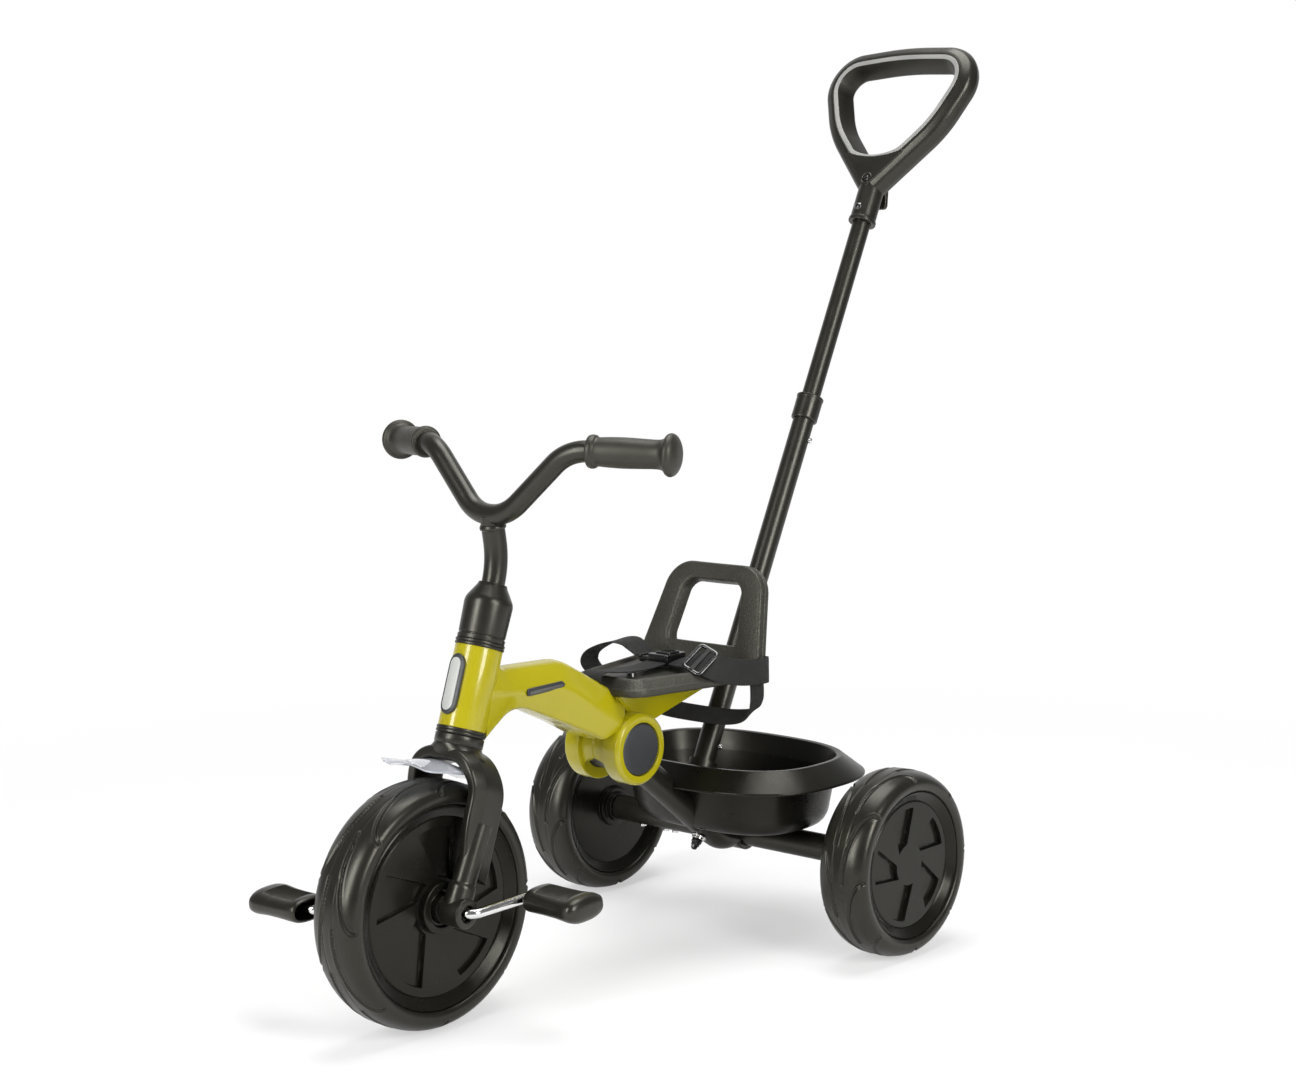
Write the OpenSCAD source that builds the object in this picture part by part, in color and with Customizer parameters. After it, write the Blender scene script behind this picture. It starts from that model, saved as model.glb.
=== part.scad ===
// Toddler push along trike: a three-wheeled tricycle with pedals on the front wheel, a folding frame,
// a seat with a lap harness, a rear basket and a telescopic push bar.
// +X is the rider's left, -Y is forwards, +Z is up, and the wheels stand on Z = 0.

/* [Wheels] */
// Diameter of the front tyre
front_tyre_d = 250; // [220:1:280]
// Width of the front tyre
front_tyre_w = 62; // [50:1:70]
// Depth of the front tyre from its tread to its rim
front_tyre_depth = 21.5; // [18:0.5:26]
// Width of the sloping ring between the front rim and its disc
front_rim_ring = 13.5; // [10:0.5:18]
// Diameter of the rear tyres
rear_tyre_d = 204; // [180:1:220]
// Width of the rear tyres
rear_tyre_w = 61; // [50:1:70]
// Depth of the rear tyres from their tread to their rims
rear_tyre_depth = 21; // [18:0.5:26]
// Width of the sloping ring between each rear rim and its disc
rear_rim_ring = 12; // [10:0.5:16]
// Distance from the rear axle to the front axle
wheelbase = 489; // [470:1:520]
// Distance between the middles of the rear tyres
track = 440; // [420:1:470]
// How far the rim's lip lies inside the tyre's side
rim_inset = 2.8; // [1:0.1:5]
// How far the disc lies inside the rim's lip
disc_inset = 6.7; // [4:0.1:9]
// Wall of the wheel shells
wheel_wall = 4; // [3:0.1:5]
// Depth of the blade pockets in the discs
pocket_depth = 2; // [1:0.1:2.5]
// Number of blade pockets in a disc
pocket_count = 5; // [3:1:7]
// Diameter of the front axle and of the rear axle rod
axle_d = 10; // [8:0.5:12]

/* [Fork and steering] */
// Lean of the steering axis back from upright, degrees
head_lean = 19; // [15:0.5:23]
// Distance along the steering axis from the front tyre's tread to the bottom of the head
head_clear = 52; // [46:1:60]
// Length of the head between its bearing rings
head_len = 84; // [70:1:100]
// Diameter of the head
head_d = 49; // [44:1:54]
// Thickness of each bearing ring
ring_t = 6; // [4:0.5:8]
// Diameter of the steerer tube
steerer_d = 29; // [28:0.5:32]
// Height of the bell shaped cap
cap_h = 60; // [50:1:70]
// Width over the fork legs
fork_w = 108; // [104:1:120]
// Width between the fork legs
fork_gap = 75; // [72:1:80]
// Depth of the fork legs from front to back
leg_depth = 44; // [36:1:50]
// How far the leg covers stand behind the steering axis
leg_setback = 9; // [0:0.5:14]
// Diameter of the leg tubes
leg_tube_d = 18; // [14:1:22]
// Diameter of the axle bosses
boss_d = 30; // [26:1:34]
// Diameter of the stem
stem_d = 24; // [23.5:0.1:24.5]
// Diameter of the handlebar
bar_d = 22; // [20:0.5:23]
// Wall of the handlebar, stem, axle and frame tubes
tube_wall = 2; // [1.5:0.1:2.5]
// Length of each grip
grip_len = 92; // [80:1:105]
// Diameter of the grips
grip_d = 30; // [27:0.5:34]
// Diameter of the flange at each grip's outer end
grip_flange_d = 43; // [38:1:48]

/* [Pedals] */
// Length of each crank
crank_len = 77; // [65:1:85]
// Turn of the cranks up from level, degrees
crank_turn = 3; // [0:1:10]
// Length of each pedal
pedal_len = 72; // [64:1:90]
// Depth of each pedal
pedal_depth = 52; // [44:1:60]
// Height of each pedal
pedal_h = 27; // [24:1:32]

/* [Frame and fold hub] */
// Distance of the fold hub ahead of the rear axle
hub_ahead = 207; // [195:1:220]
// Height of the fold hub
hub_z = 238; // [228:1:248]
// Length of the fold hub
hub_len = 80; // [76:1:90]
// Diameter of the hub's end discs
hub_d = 78; // [74:1:84]
// Diameter of the hub's barrel
barrel_d = 68; // [64:1:72]
// Diameter of the inner barrel that turns with the rear frame
inner_barrel_d = 52; // [48:1:54]
// Diameter of the round fold buttons
button_d = 57; // [55:1:60]
// Travel of the fold buttons
button_travel = 4; // [2:0.5:4.5]
// Fold of the rear frame, degrees
fold_angle = 65; // [50:1:70]
// Diameter of the down tube
down_tube_d = 32; // [28:1:34]
// Diameter of the cross axle tube
axle_tube_d = 30; // [26:1:34]

/* [Seat] */
// Height of the seat's underside
seat_z = 297; // [290:1:310]
// Thickness of the seat pan
pan_t = 18; // [14:1:24]
// Length of the seat pan
pan_len = 182; // [170:1:195]
// Width of the seat pan at the back
pan_w = 182; // [170:1:200]
// Width of the seat pan at the front
pan_front_w = 103; // [90:1:120]
// Height of the backrest along its slope
back_h = 120; // [100:1:130]
// Width of the backrest at its top
back_top_w = 132; // [118:1:150]
// Thickness of the backrest
back_t = 15; // [12:1:20]
// Lean of the backrest, degrees
back_lean = 20; // [10:1:24]
// Width of the harness webbing
web_w = 30; // [20:1:32]
// Thickness of the harness webbing
web_t = 2; // [1.5:0.1:2.5]

/* [Basket] */
// Height of the basket's underside
basket_z = 121; // [119:1:130]
// Height of the basket
basket_h = 80; // [70:1:85]
// Width of the basket's mouth
basket_w = 262; // [230:1:270]
// Length of the basket's mouth
basket_l = 184; // [160:1:190]
// Width of the basket's floor
basket_floor_w = 196; // [170:1:210]
// Length of the basket's floor
basket_floor_l = 132; // [110:1:150]
// Overhang of the sloping rim
rim_overhang = 26; // [15:1:28]
// Height of the sloping rim
rim_h = 23; // [15:1:28]
// Wall of the basket
basket_wall = 3; // [2:0.5:4]

/* [Push bar] */
// Lean of the push bar, degrees
push_lean = 26.7; // [22:0.1:30]
// Diameter of the lower push tube
push_low_d = 25; // [24.8:0.1:26]
// Diameter of the upper push tube
push_up_d = 22; // [21.5:0.1:22.5]
// Length of the lower push tube above the socket's rim
push_low_len = 446; // [400:1:480]
// Length of the upper push tube that shows
push_up_len = 228; // [200:1:260]
// How far the upper tube can slide down
push_travel = 150; // [100:1:180]
// Depth of the push bar in its socket
socket_depth = 37; // [30:1:38]
// Width of the handle loop between its tube centres
handle_w = 196; // [170:1:210]
// Height of the handle loop above its neck
handle_h = 158; // [150:1:180]
// Diameter of the handle loop's section
handle_d = 32; // [28:1:36]

/* [Hidden] */
$fn = 48;
// Running and seating clearance between round pieces that fit together
fit_gap = 0.05;
// Clearance between pieces that pass close by each other
gap = 0.4;
// Overrun of every cut past the face that it opens
cut = 1;

// Bead that joins the rods and bends of a tube, and the room between them that it fills
joint_bead = 0.3;
joint_gap = 0.6;

// Reference places
front_r = front_tyre_d/2;
rear_r = rear_tyre_d/2;
front_axle = [0, -wheelbase, front_r];
hub_at = [0, -hub_ahead, hub_z];
axle_r = axle_d/2;
head_from_axle = front_r + head_clear;
head_top = head_from_axle + head_len;

// Tyre and wheel details
front_rim_d = front_tyre_d - 2*front_tyre_depth;
front_disc_d = front_rim_d - 2*front_rim_ring;
rear_rim_d = rear_tyre_d - 2*rear_tyre_depth;
rear_disc_d = rear_rim_d - 2*rear_rim_ring;
tyre_power = 2.4;
tyre_steps = 16;
tyre_bulge_share = 0.3;
front_hub_d = 52;
front_hub_proud = 8;
rear_hub_d = 48;
rear_hub_proud = 5;
hub_tube_wall = 7;
pocket_inner_share = 0.40;
pocket_outer_share = 0.90;
pocket_turn_shares = [0, 0.62, 0.70, 0.16];

// Steering details
ring_proud = 1;
head_tube_d = 40;
cap_foot_h = 5;
cap_top_d = 28;
cap_shoulder_share = 0.62;
crown_t = 24;
crown_collar_d = 50;
crown_collar_h = 14;
fork_shoulder_r = 40;
fork_inner_r = 26;
leg_foot_rear = 32;
leg_foot_front = 45;
leg_taper = 6;
boss_len = 22;
spigot_d = 9;
stem_straight = 89;
stem_bend_at = head_top + stem_straight;
stem_bend_r = 60;
stem_hook = 44;
bar_rise_from = stem_bend_at + stem_hook;
bar_forward = 23;
bar_flat = 44;
bar_vee_w = 194;
bar_vee_rise = 69;
bar_vee_forward = 9.5;
bar_bend_r = 42;
bar_facets = 40;
bar_spin = 20;
bar_bore_spin = 70;
grip_reach = 202;
grip_behind = 11;
grip_rise = 80;
grip_out = [grip_reach, grip_behind, bar_rise_from + grip_rise];
grip_end_t = 6;
grip_collar_d = 33;
grip_collar_t = 8;
grip_flange_t = 12;
guard_t = 2;
guard_w = 54;
guard_clear = 10;
guard_post_w = 18;
guard_post_l = 10;
guard_post_from = 15;
guard_back_angle = 33;
guard_front_angle = 14;
guard_lip = 17;

// Crank and pedal details
crank_bend_r = 10;
crank_out = 68.5;
pin_out = 73;
pedal_in = 83;
pedal_wall = 4;
pedal_mouth = 26;
pedal_end_t = 6;
pedal_round = 6;

// Frame details
shell_wall = 3.5;
disc_w = 22;
disc_chamfer = 4;
barrel_end = 30;
button_t = 5;
button_sink = 0.5;
button_stem_d = 24;
button_stem_len = 8;
button_clear = 0.4;
web_half = 3;
spring_d = 24;
spring_wall = 3;
slot_half = 18;
slot_margin = 40;
badge_w = 25;
badge_h = 62;
badge_t = 4;
badge_sink = 1.5;
badge_plate_w = 15;
badge_plate_h = 54;
badge_plate_t = 1.2;
inlay_len = 52;
inlay_h = 8;
inlay_t = 2;
inlay_shares = [0.566, 0.628];
inlay_side = 22.5;
inlay_turn = 2;
screw_d = 4;
screw_head_d = 8;
screw_head_t = 3;
screw_len = 14;

// Rear frame details
sleeve_d = 40;
sleeve_len = 28;
down_bend_r = 60;
down_slope = 38.4;
axle_tube_reach = 186;
axle_plug = 20;
rod_end = 15;
bolt_from_hub = 187;
bolt_d = 6;
bolt_washer_d = 13;
bolt_washer_t = 2;
bolt_nut_d = 10;
bolt_nut_h = 11;
axle_screw_x = [-150, -112, -98, 128];
axle_screw_proud = 2.5;
tunnel_w = 40;
tunnel_top = 183;
tunnel_back = 42;
tunnel_low_top = 131;
tunnel_low_back = 28;
tunnel_low_w = 46;
basket_back = 14;
basket_power = 2.5;
basket_steps = 48;
socket_wall = 3.4;
socket_collar_d = 33;
socket_collar_h = 8;
socket_foot = 60;
socket_hole_gap = 0.6;

// Seat details
pan_front = 230;
pan_corner_r = 22;
pan_border = 15;
pan_sink = 5;
back_corner_r = 36;
back_hole_w = 104;
back_hole_top_w = 80;
back_hole_h = 79;
back_hole_up = 20;
back_hole_r = 15;
back_setback = 10;
bracket_w = 34;
bracket_foot_w = 34;
bracket_rear = 64;
bracket_edge = 8;
bracket_gap = 0.5;
bolt_seat_d = 6;
bolt_seat_head_d = 11;
bolt_seat_head_t = 3;
bolt_seat_spacing = 60;
bolt_seat_ahead = 178;
belt_gap = 0.5;
belt_under = 26;
belt_turn = 20;
belt_reach = 80;
loop_y = 120;
loop_h = 46;
loop_x_shares = [0.66, 0.92, 1.10, 1.14, 1.08, 0.86, 0.58, 0.45, 0.40];
loop_z_shares = [0, 0, 0.32, 0.55, 0.74, 0.94, 1, 0.9, 0.64];
buckle_y = 120;
buckle_w = 34;
buckle_l = 30;
buckle_h = 10;
buckle_gap = 0.4;
tongue_l = 16;
slider_from = 24;
slider_w = 38;
slider_l = 24;
slider_t = 4;
slider_bar = 4;
crotch_drop = 4;
hang_drop = 48;
hang_x = 82;
hang_y = 64;
hang_bow = 8;
hang_w = 24;
hang_steps = 12;

// Push bar details
push_at_z = 194.6;
push_at_y = -60.6;
push_collar_d = 31;
push_collar_h = 26;
push_lap = 190;
lock_d = 6;
lock_head_d = 8;
lock_proud = 2;
lock_travel = 1;
lock_low_at = 20;
lock_high_at = 396;
lock_turn = 35;
neck_d = 31;
neck_h = 54;
neck_lip_d = 33;
neck_lip_h = 5;
handle_mid_share = [0.36, 0.455];
handle_top_bow = 8;
handle_corner_r = 30;
handle_side_r = 120;
handle_top_r = 400;
handle_web_t = 12;
handle_web_shares = [[0, -0.02], [0.30, 0.33], [0, 0.24]];
plate_t = 3;
plate_front = 6;
plate_shares = [[0, 0.06], [0.17, 0.25], [0, 0.21]];
handle_screw_d = 8;
handle_screw_t = 3;
lever_w = 16;
lever_len = 24;
lever_t = 6;
lever_lean = 20;

// Colours
frame_green = [0.69, 0.66, 0.08];
satin_black = [0.13, 0.13, 0.12];
tyre_black = [0.16, 0.16, 0.15];
dark_grey = [0.25, 0.26, 0.27];
pale_grey = [0.78, 0.79, 0.78];
bright_metal = [0.8, 0.8, 0.8];
clear_plastic = [0.85, 0.88, 0.9, 0.4];
web_black = [0.08, 0.08, 0.08];

// The part's middle lies half way between the front of the front tyre and the back of the handle
handle_at = push_low_len + push_up_len + neck_h;
handle_top_slope = atan(handle_top_bow/(handle_w/2 + handle_top_bow));
handle_crest = handle_h + handle_top_bow - handle_top_r*(1/cos(handle_top_slope) - 1);
handle_back = push_at_y + (handle_at + handle_crest)*sin(push_lean) + handle_d/2;
middle_y = (handle_back - wheelbase - front_r)/2;

// Places a piece drawn from the rear axle's line into the part's own frame
module part() translate([0, -middle_y, 0]) children();

// Shared outlines and shapes

function unit(v) = v/norm(v);

// Arc that rounds the corner p between a and b
function fillet(a, p, b, r, n) =
    let (u = unit(a - p), v = unit(b - p), h = acos(u*v)/2,
         c = p + unit(u + v)*r/sin(h), s = p + u*r/tan(h) - c, e = p + v*r/tan(h) - c)
    [for (i = [0:n]) c + r*unit(s*(n - i) + e*i)];

// Closed outline with its corners rounded
function rounded(points, r, n = 5) =
    let (m = len(points))
    [for (i = [0:m - 1]) each fillet(points[(i + m - 1)%m], points[i], points[(i + 1)%m], r, n)];

// Superellipse with half lengths a and b
function superellipse(a, b, power, steps) =
    [for (i = [0:steps - 1]) let (t = 360*i/steps, c = cos(t), s = sin(t))
        [a*sign(c)*pow(abs(c), 2/power), b*sign(s)*pow(abs(s), 2/power)]];

// Outline of a strip of thickness t along an open line of points
function strip(points, t) =
    let (m = len(points) - 1,
         side = [for (i = [0:m])
            let (u = i > 0 ? unit(points[i] - points[i - 1]) : unit(points[1] - points[0]),
                 v = i < m ? unit(points[i + 1] - points[i]) : u,
                 d = unit(u + v))
            [-d.y, d.x]*t/2/(u*d)])
    concat([for (i = [0:m]) points[i] + side[i]], [for (i = [m:-1:0]) points[i] - side[i]]);

// Straight round rod between two points
module rod(p, q, r) {
    v = q - p;
    translate(p) rotate([0, acos(v.z/norm(v)), atan2(v.y, v.x)]) cylinder(h = norm(v), r = r);
}

// Round bend at the corner p between a and b, short of both ends by half a joint
module bend(a, p, b, bend_r, r) {
    u = unit(p - a);
    v = unit(b - p);
    turn = acos(u*v);
    w = unit(cross(u, v));
    c = p + unit(v - u)*bend_r/cos(turn/2);
    x = unit(p - u*bend_r*tan(turn/2) - c);
    y = cross(w, x);
    short = asin(joint_gap/bend_r);
    multmatrix([[x.x, y.x, w.x, c.x], [x.y, y.y, w.y, c.y], [x.z, y.z, w.z, c.z], [0, 0, 0, 1]])
        rotate(short) rotate_extrude(angle = turn - 2*short) translate([bend_r, 0]) circle(r = r);
}

// Round bead at the point p of a tube, with its poles turned to the tube's way u and then spun
module bead(p, u, r, spin) translate(p)
    rotate([0, acos(u.z), atan2(u.y, u.x)]) rotate(spin) sphere(r = r + joint_bead);

// How much of each leg the bend at point i takes up
function bend_trim(p, i, radii) =
    i <= 0 || i >= len(p) - 1 ? 0
    : radii[i]*tan(acos(unit(p[i] - p[i - 1])*unit(p[i + 1] - p[i]))/2);

// Round tube along points with the bend radius of each corner: rods and bends joined by round beads
module pipe(p, radii, r, spin = 0) {
    last = len(p) - 1;
    for (i = [0:last - 1]) {
        u = unit(p[i + 1] - p[i]);
        from = p[i] + u*bend_trim(p, i, radii);
        to = p[i + 1] - u*bend_trim(p, i + 1, radii);
        rod(i > 0 ? from + u*joint_gap : from, i < last - 1 ? to - u*joint_gap : to, r);
        if (i > 0) bead(from, u, r, spin);
        if (i < last - 1) bead(to, u, r, spin);
    }
    for (i = [1:1:last - 1]) bend(p[i - 1], p[i], p[i + 1], radii[i], r);
}

// Turns an outline in Y and Z into a plate along X
module across(w) rotate([90, 0, 90]) linear_extrude(w, center = true) children();

// Turns a shape about Z into one about X
module along_x() rotate([0, 90, 0]) children();

// Solid through rings of points
module loft(rings) {
    n = len(rings[0]);
    m = len(rings);
    sides = [for (j = [0:m - 2]) for (i = [0:n - 1]) let (k = (i + 1)%n)
        each [[j*n + i, (j + 1)*n + k, j*n + k], [j*n + i, (j + 1)*n + i, (j + 1)*n + k]]];
    caps = concat([for (i = [1:n - 2]) [0, i, i + 1]],
                  [for (i = [1:n - 2]) [(m - 1)*n, (m - 1)*n + i + 1, (m - 1)*n + i]]);
    polyhedron([for (r = rings) each r], concat(sides, caps));
}

// Frames of the moving groups
module steer() translate(front_axle) rotate([-head_lean, 0, 0]) children();
module push_line() translate([0, push_at_y, push_at_z]) rotate([-push_lean, 0, 0]) children();
module at_hub() translate(hub_at) children();
module cranked() translate(front_axle) rotate([crank_turn, 0, 0]) children();

// Wheels

module tyre(d, w, rim_d) {
    depth = (d - rim_d)/2;
    mid = rim_d/2 + depth*tyre_bulge_share;
    crown = [for (i = [0:tyre_steps]) let (t = 180*i/tyre_steps, c = cos(t), s = sin(t))
        [mid + (d/2 - mid)*pow(s, 2/tyre_power), w/2*sign(c)*pow(abs(c), 2/tyre_power)]];
    foot = rim_d/2 + fit_gap;
    along_x() rotate_extrude()
        polygon(concat(crown, [[foot, rim_inset - w/2], [foot, w/2 - rim_inset]]));
}

// Five blade shaped pockets, like a pinwheel
module blades(disc_d, depth) {
    r = disc_d/2;
    ends = [pocket_inner_share, pocket_inner_share, pocket_outer_share, pocket_outer_share]*r;
    pitch = 360/pocket_count;
    blade = [for (i = [0:3]) ends[i]*[cos(pitch*pocket_turn_shares[i]), sin(pitch*pocket_turn_shares[i])]];
    for (i = [0:pocket_count - 1])
        rotate(i*pitch) linear_extrude(depth + cut)
            polygon(rounded([blade[0], blade[3], blade[2], blade[1]], wheel_wall/2));
}

// Half of a wheel: face, sloping rim ring, rim barrel and hub tube
module wheel_shell(w, rim_d, disc_d, hub_d, proud, blind, bladed) {
    lip = w/2 - rim_inset;
    face = lip - disc_inset;
    bore = axle_r + fit_gap;
    tube = bore + hub_tube_wall;
    inner = rim_d/2 - wheel_wall;
    hub = blind ? [[0, face]] : [[bore, face + proud], [hub_d/2, face + proud], [hub_d/2, face]];
    start = blind ? [[bore, 0], [bore, rod_end + gap], [0, rod_end + gap]] : [[bore, 0]];
    outline = concat(start, hub,
        [[disc_d/2, face], [rim_d/2, lip], [rim_d/2, 0], [inner, 0], [inner, face - wheel_wall],
         [tube, face - wheel_wall], [tube, 0]]);
    along_x() difference() {
        rotate_extrude() polygon(outline);
        if (bladed) translate([0, 0, face - pocket_depth]) blades(disc_d, pocket_depth);
    }
}

module front_tyre() color(tyre_black) translate(front_axle) tyre(front_tyre_d, front_tyre_w, front_rim_d);
module front_shell()
    wheel_shell(front_tyre_w, front_rim_d, front_disc_d, front_hub_d, front_hub_proud, false, true);
module front_wheel_left() color(satin_black) translate(front_axle) front_shell();
module front_wheel_right() color(satin_black) translate(front_axle) mirror([1, 0, 0]) front_shell();

module rear_tyre_at(side) translate([side*track/2, 0, rear_r]) tyre(rear_tyre_d, rear_tyre_w, rear_rim_d);
module rear_outer_at(side) translate([side*track/2, 0, rear_r]) mirror([side < 0 ? 1 : 0, 0, 0])
    wheel_shell(rear_tyre_w, rear_rim_d, rear_disc_d, rear_hub_d, 0, true, true);
module rear_inner_at(side) translate([side*track/2, 0, rear_r]) mirror([side > 0 ? 1 : 0, 0, 0])
    wheel_shell(rear_tyre_w, rear_rim_d, rear_disc_d, rear_hub_d, rear_hub_proud, false, false);
module left_rear_tyre() color(tyre_black) rear_tyre_at(1);
module right_rear_tyre() color(tyre_black) rear_tyre_at(-1);
module left_rear_outer() color(satin_black) rear_outer_at(1);
module right_rear_outer() color(satin_black) rear_outer_at(-1);
module left_rear_inner() color(satin_black) rear_inner_at(1);
module right_rear_inner() color(satin_black) rear_inner_at(-1);

// Crank and pedals

crank_points = [
    [-pedal_in - pedal_len + pedal_end_t, -crank_len, 0], [-pin_out, -crank_len, 0], [-crank_out, 0, 0],
    [crank_out, 0, 0], [pin_out, crank_len, 0], [pedal_in + pedal_len - pedal_end_t, crank_len, 0]
];
crank_radii = [for (p = crank_points) crank_bend_r];
module pedal_crank() color(bright_metal) cranked() pipe(crank_points, crank_radii, axle_r);

module pedal_block(inset, len) {
    r = pedal_h/2 - inset;
    half = pedal_depth/2 - pedal_h/2;
    for (s = [-1, 1]) translate([0, s*half, 0]) along_x() cylinder(h = len, r = r);
    translate([0, -half, -r]) cube([len, 2*half, 2*r]);
}
module pedal() difference() {
    union() {
        pedal_block(0, pedal_len - pedal_round);
        pedal_block(pedal_round/2, pedal_len);
    }
    translate([-cut, 0, 0]) pedal_block(pedal_wall, pedal_mouth + cut);
    translate([-cut, 0, 0]) along_x()
        cylinder(h = pedal_len - pedal_end_t + gap + cut, r = axle_r + fit_gap);
}
module left_pedal() color(satin_black) cranked() translate([pedal_in, crank_len, 0]) pedal();
module right_pedal() color(satin_black) cranked() translate([-pedal_in, -crank_len, 0])
    mirror([1, 0, 0]) pedal();

// Fork and steering

steerer_foot = head_from_axle - ring_t - crown_t;
cap_foot = head_from_axle + head_len + ring_t;
crown_top = head_from_axle - ring_t - gap;
arch_top = crown_top - crown_collar_h;
arch_under = crown_top - crown_t;

module fork_crown() color(satin_black) steer() difference() {
    intersection() {
        union() {
            rotate([90, 0, 0]) linear_extrude(leg_depth*2, center = true) difference() {
                polygon(rounded([[-fork_w/2, -front_r], [fork_w/2, -front_r],
                    [fork_w/2, arch_top], [-fork_w/2, arch_top]], fork_shoulder_r));
                polygon(rounded([[-fork_gap/2, -front_r], [fork_gap/2, -front_r],
                    [fork_gap/2, arch_under], [-fork_gap/2, arch_under]], fork_inner_r));
            }
            translate([0, 0, arch_under]) cylinder(h = crown_t, d = crown_collar_d);
        }
        across(fork_w) leg_profile();
    }
    translate([0, 0, arch_under - cut]) cylinder(h = crown_t + 2*cut, d = steerer_d + 2*fit_gap);
    for (s = [-1, 1]) rod([s*leg_x, 0, 0], [s*leg_x, leg_top.y, leg_top.z + gap], spigot_d/2 + fit_gap);
}

leg_x = (fork_w + fork_gap)/4;
leg_top = [0, leg_setback, 2*leg_foot_front];
// Side view of the fork: the leg covers end on a slant above the axle
module leg_profile() polygon([
    [-leg_depth/2, crown_top], [leg_depth/2 + leg_taper/2, crown_top],
    [leg_setback + leg_depth/2, arch_under - fork_inner_r], [leg_setback + leg_depth/2, leg_foot_rear],
    [leg_setback - leg_depth/2 + leg_taper, leg_foot_front],
    [leg_setback - leg_depth/2, arch_under - fork_inner_r]]);
module fork_legs() color(satin_black) steer() for (s = [-1, 1]) difference() {
    union() {
        difference() {
            rod([s*leg_x, 0, 0], [s*leg_x, leg_top.y, leg_top.z], leg_tube_d/2);
            across(2*fork_w) leg_profile();
        }
        rod([s*leg_x, 0, 0], [s*leg_x, leg_top.y, leg_top.z], spigot_d/2);
        translate([s*leg_x, 0, 0]) along_x() cylinder(h = boss_len, d = boss_d, center = true);
    }
    translate([s*leg_x, 0, 0]) along_x()
        cylinder(h = leg_tube_d + boss_len, r = axle_r + fit_gap, center = true);
}

module ring(d, bore, h) difference() {
    cylinder(h = h, d = d);
    translate([0, 0, -cut]) cylinder(h = h + 2*cut, d = bore);
}

module steerer_tube() color(dark_grey) steer() translate([0, 0, steerer_foot])
    ring(steerer_d, stem_d + 2*fit_gap, cap_foot - steerer_foot - gap);
module lower_bearing() color(satin_black) steer() translate([0, 0, head_from_axle - ring_t])
    ring(head_d + 2*ring_proud, steerer_d + 2*fit_gap, ring_t);
module upper_bearing() color(satin_black) steer() translate([0, 0, head_from_axle + head_len])
    ring(head_d + 2*ring_proud, steerer_d + 2*fit_gap, ring_t);
module head_tube() color(dark_grey) steer() translate([0, 0, head_from_axle])
    ring(head_tube_d, steerer_d + 2*gap, head_len);

module head_cap() color(satin_black) steer() translate([0, 0, cap_foot + gap]) rotate_extrude() polygon([
    [stem_d/2 + fit_gap, 0], [head_d/2, 0], [head_d/2, cap_foot_h],
    [head_d/2 - ring_proud, cap_foot_h + ring_proud],
    [head_d/2 + ring_proud/2, cap_h*cap_shoulder_share], [cap_top_d/2, cap_h - ring_proud],
    [cap_top_d/2 - ring_proud, cap_h], [stem_d/2 + fit_gap, cap_h]]);

bar_half = [
    [bar_flat/2, -bar_forward, bar_rise_from],
    [bar_vee_w/2, -bar_forward - bar_vee_forward, bar_rise_from + bar_vee_rise],
    grip_out
];
grip_way = unit(bar_half[2] - bar_half[1]);
bar_stop = grip_out - grip_way*grip_end_t;
function flip(p) = [-p.x, p.y, p.z];
bar_points = [flip(bar_stop), flip(bar_half[1]), flip(bar_half[0]), bar_half[0], bar_half[1], bar_stop];
bar_radii = [for (p = bar_points) bar_bend_r];
module handlebar() color(satin_black) steer() difference() {
    pipe(bar_points, bar_radii, bar_d/2, bar_spin, $fn = bar_facets);
    pipe(bar_points, bar_radii, bar_d/2 - tube_wall, bar_bore_spin, $fn = bar_facets);
}

stem_points = [[0, 0, steerer_foot], [0, 0, stem_bend_at], [0, -bar_forward, bar_rise_from]];
stem_radii = [for (p = stem_points) stem_bend_r];
module stem() color(satin_black) steer() difference() {
    pipe(stem_points, stem_radii, stem_d/2);
    pipe(stem_points, stem_radii, stem_d/2 - tube_wall);
    rod(bar_half[0], flip(bar_half[0]), bar_d/2 + joint_bead + fit_gap);
}

// Grip along its own axis, from the outer end inwards
module grip_shape() rotate_extrude() polygon([
    [0, 0], [grip_flange_d/2 - grip_end_t/2, 0], [grip_flange_d/2, grip_end_t/2],
    [grip_flange_d/2, grip_flange_t/2], [grip_d/2, grip_flange_t + grip_end_t/2],
    [grip_d/2, grip_len - grip_collar_t], [grip_collar_d/2, grip_len - grip_collar_t/2],
    [grip_collar_d/2, grip_len], [bar_d/2 + fit_gap, grip_len], [bar_d/2 + fit_gap, grip_end_t - fit_gap],
    [0, grip_end_t - fit_gap]]);
module grip_at(side) {
    e = side > 0 ? grip_out : flip(grip_out);
    v = -(side > 0 ? grip_way : flip(grip_way));
    steer() translate(e) rotate([0, acos(v.z), atan2(v.y, v.x)]) grip_shape();
}
module left_grip() color(dark_grey) grip_at(1);
module right_grip() color(dark_grey) grip_at(-1);

// Mudguard: a clear strip over the tyre that turns up at the front
guard_r = front_r + guard_clear + guard_t/2;
guard_line = concat(
    [for (a = [guard_back_angle:-guard_back_angle/4:0]) guard_r*[sin(a), cos(a)]],
    [for (k = [1:4]) let (a = guard_front_angle*k/4) (guard_r + guard_lip*pow(k/4, 2))*[-sin(a), cos(a)]]);
module mudguard() color(clear_plastic) {
    translate(front_axle) across(guard_w) polygon(strip(guard_line, guard_t));
    steer() translate([-guard_post_w/2, guard_post_from, guard_r - guard_t])
        cube([guard_post_w, guard_post_l, arch_under - guard_r + guard_t]);
}

// Frame: two half shells round the head, the arm and the fold hub

head_low = [0, head_from_axle*sin(head_lean) - wheelbase, front_r + head_from_axle*cos(head_lean)];
arm_run = -hub_ahead - head_low.y;
arm_rise = head_low.z + head_len*cos(head_lean) - hub_z;
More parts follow.
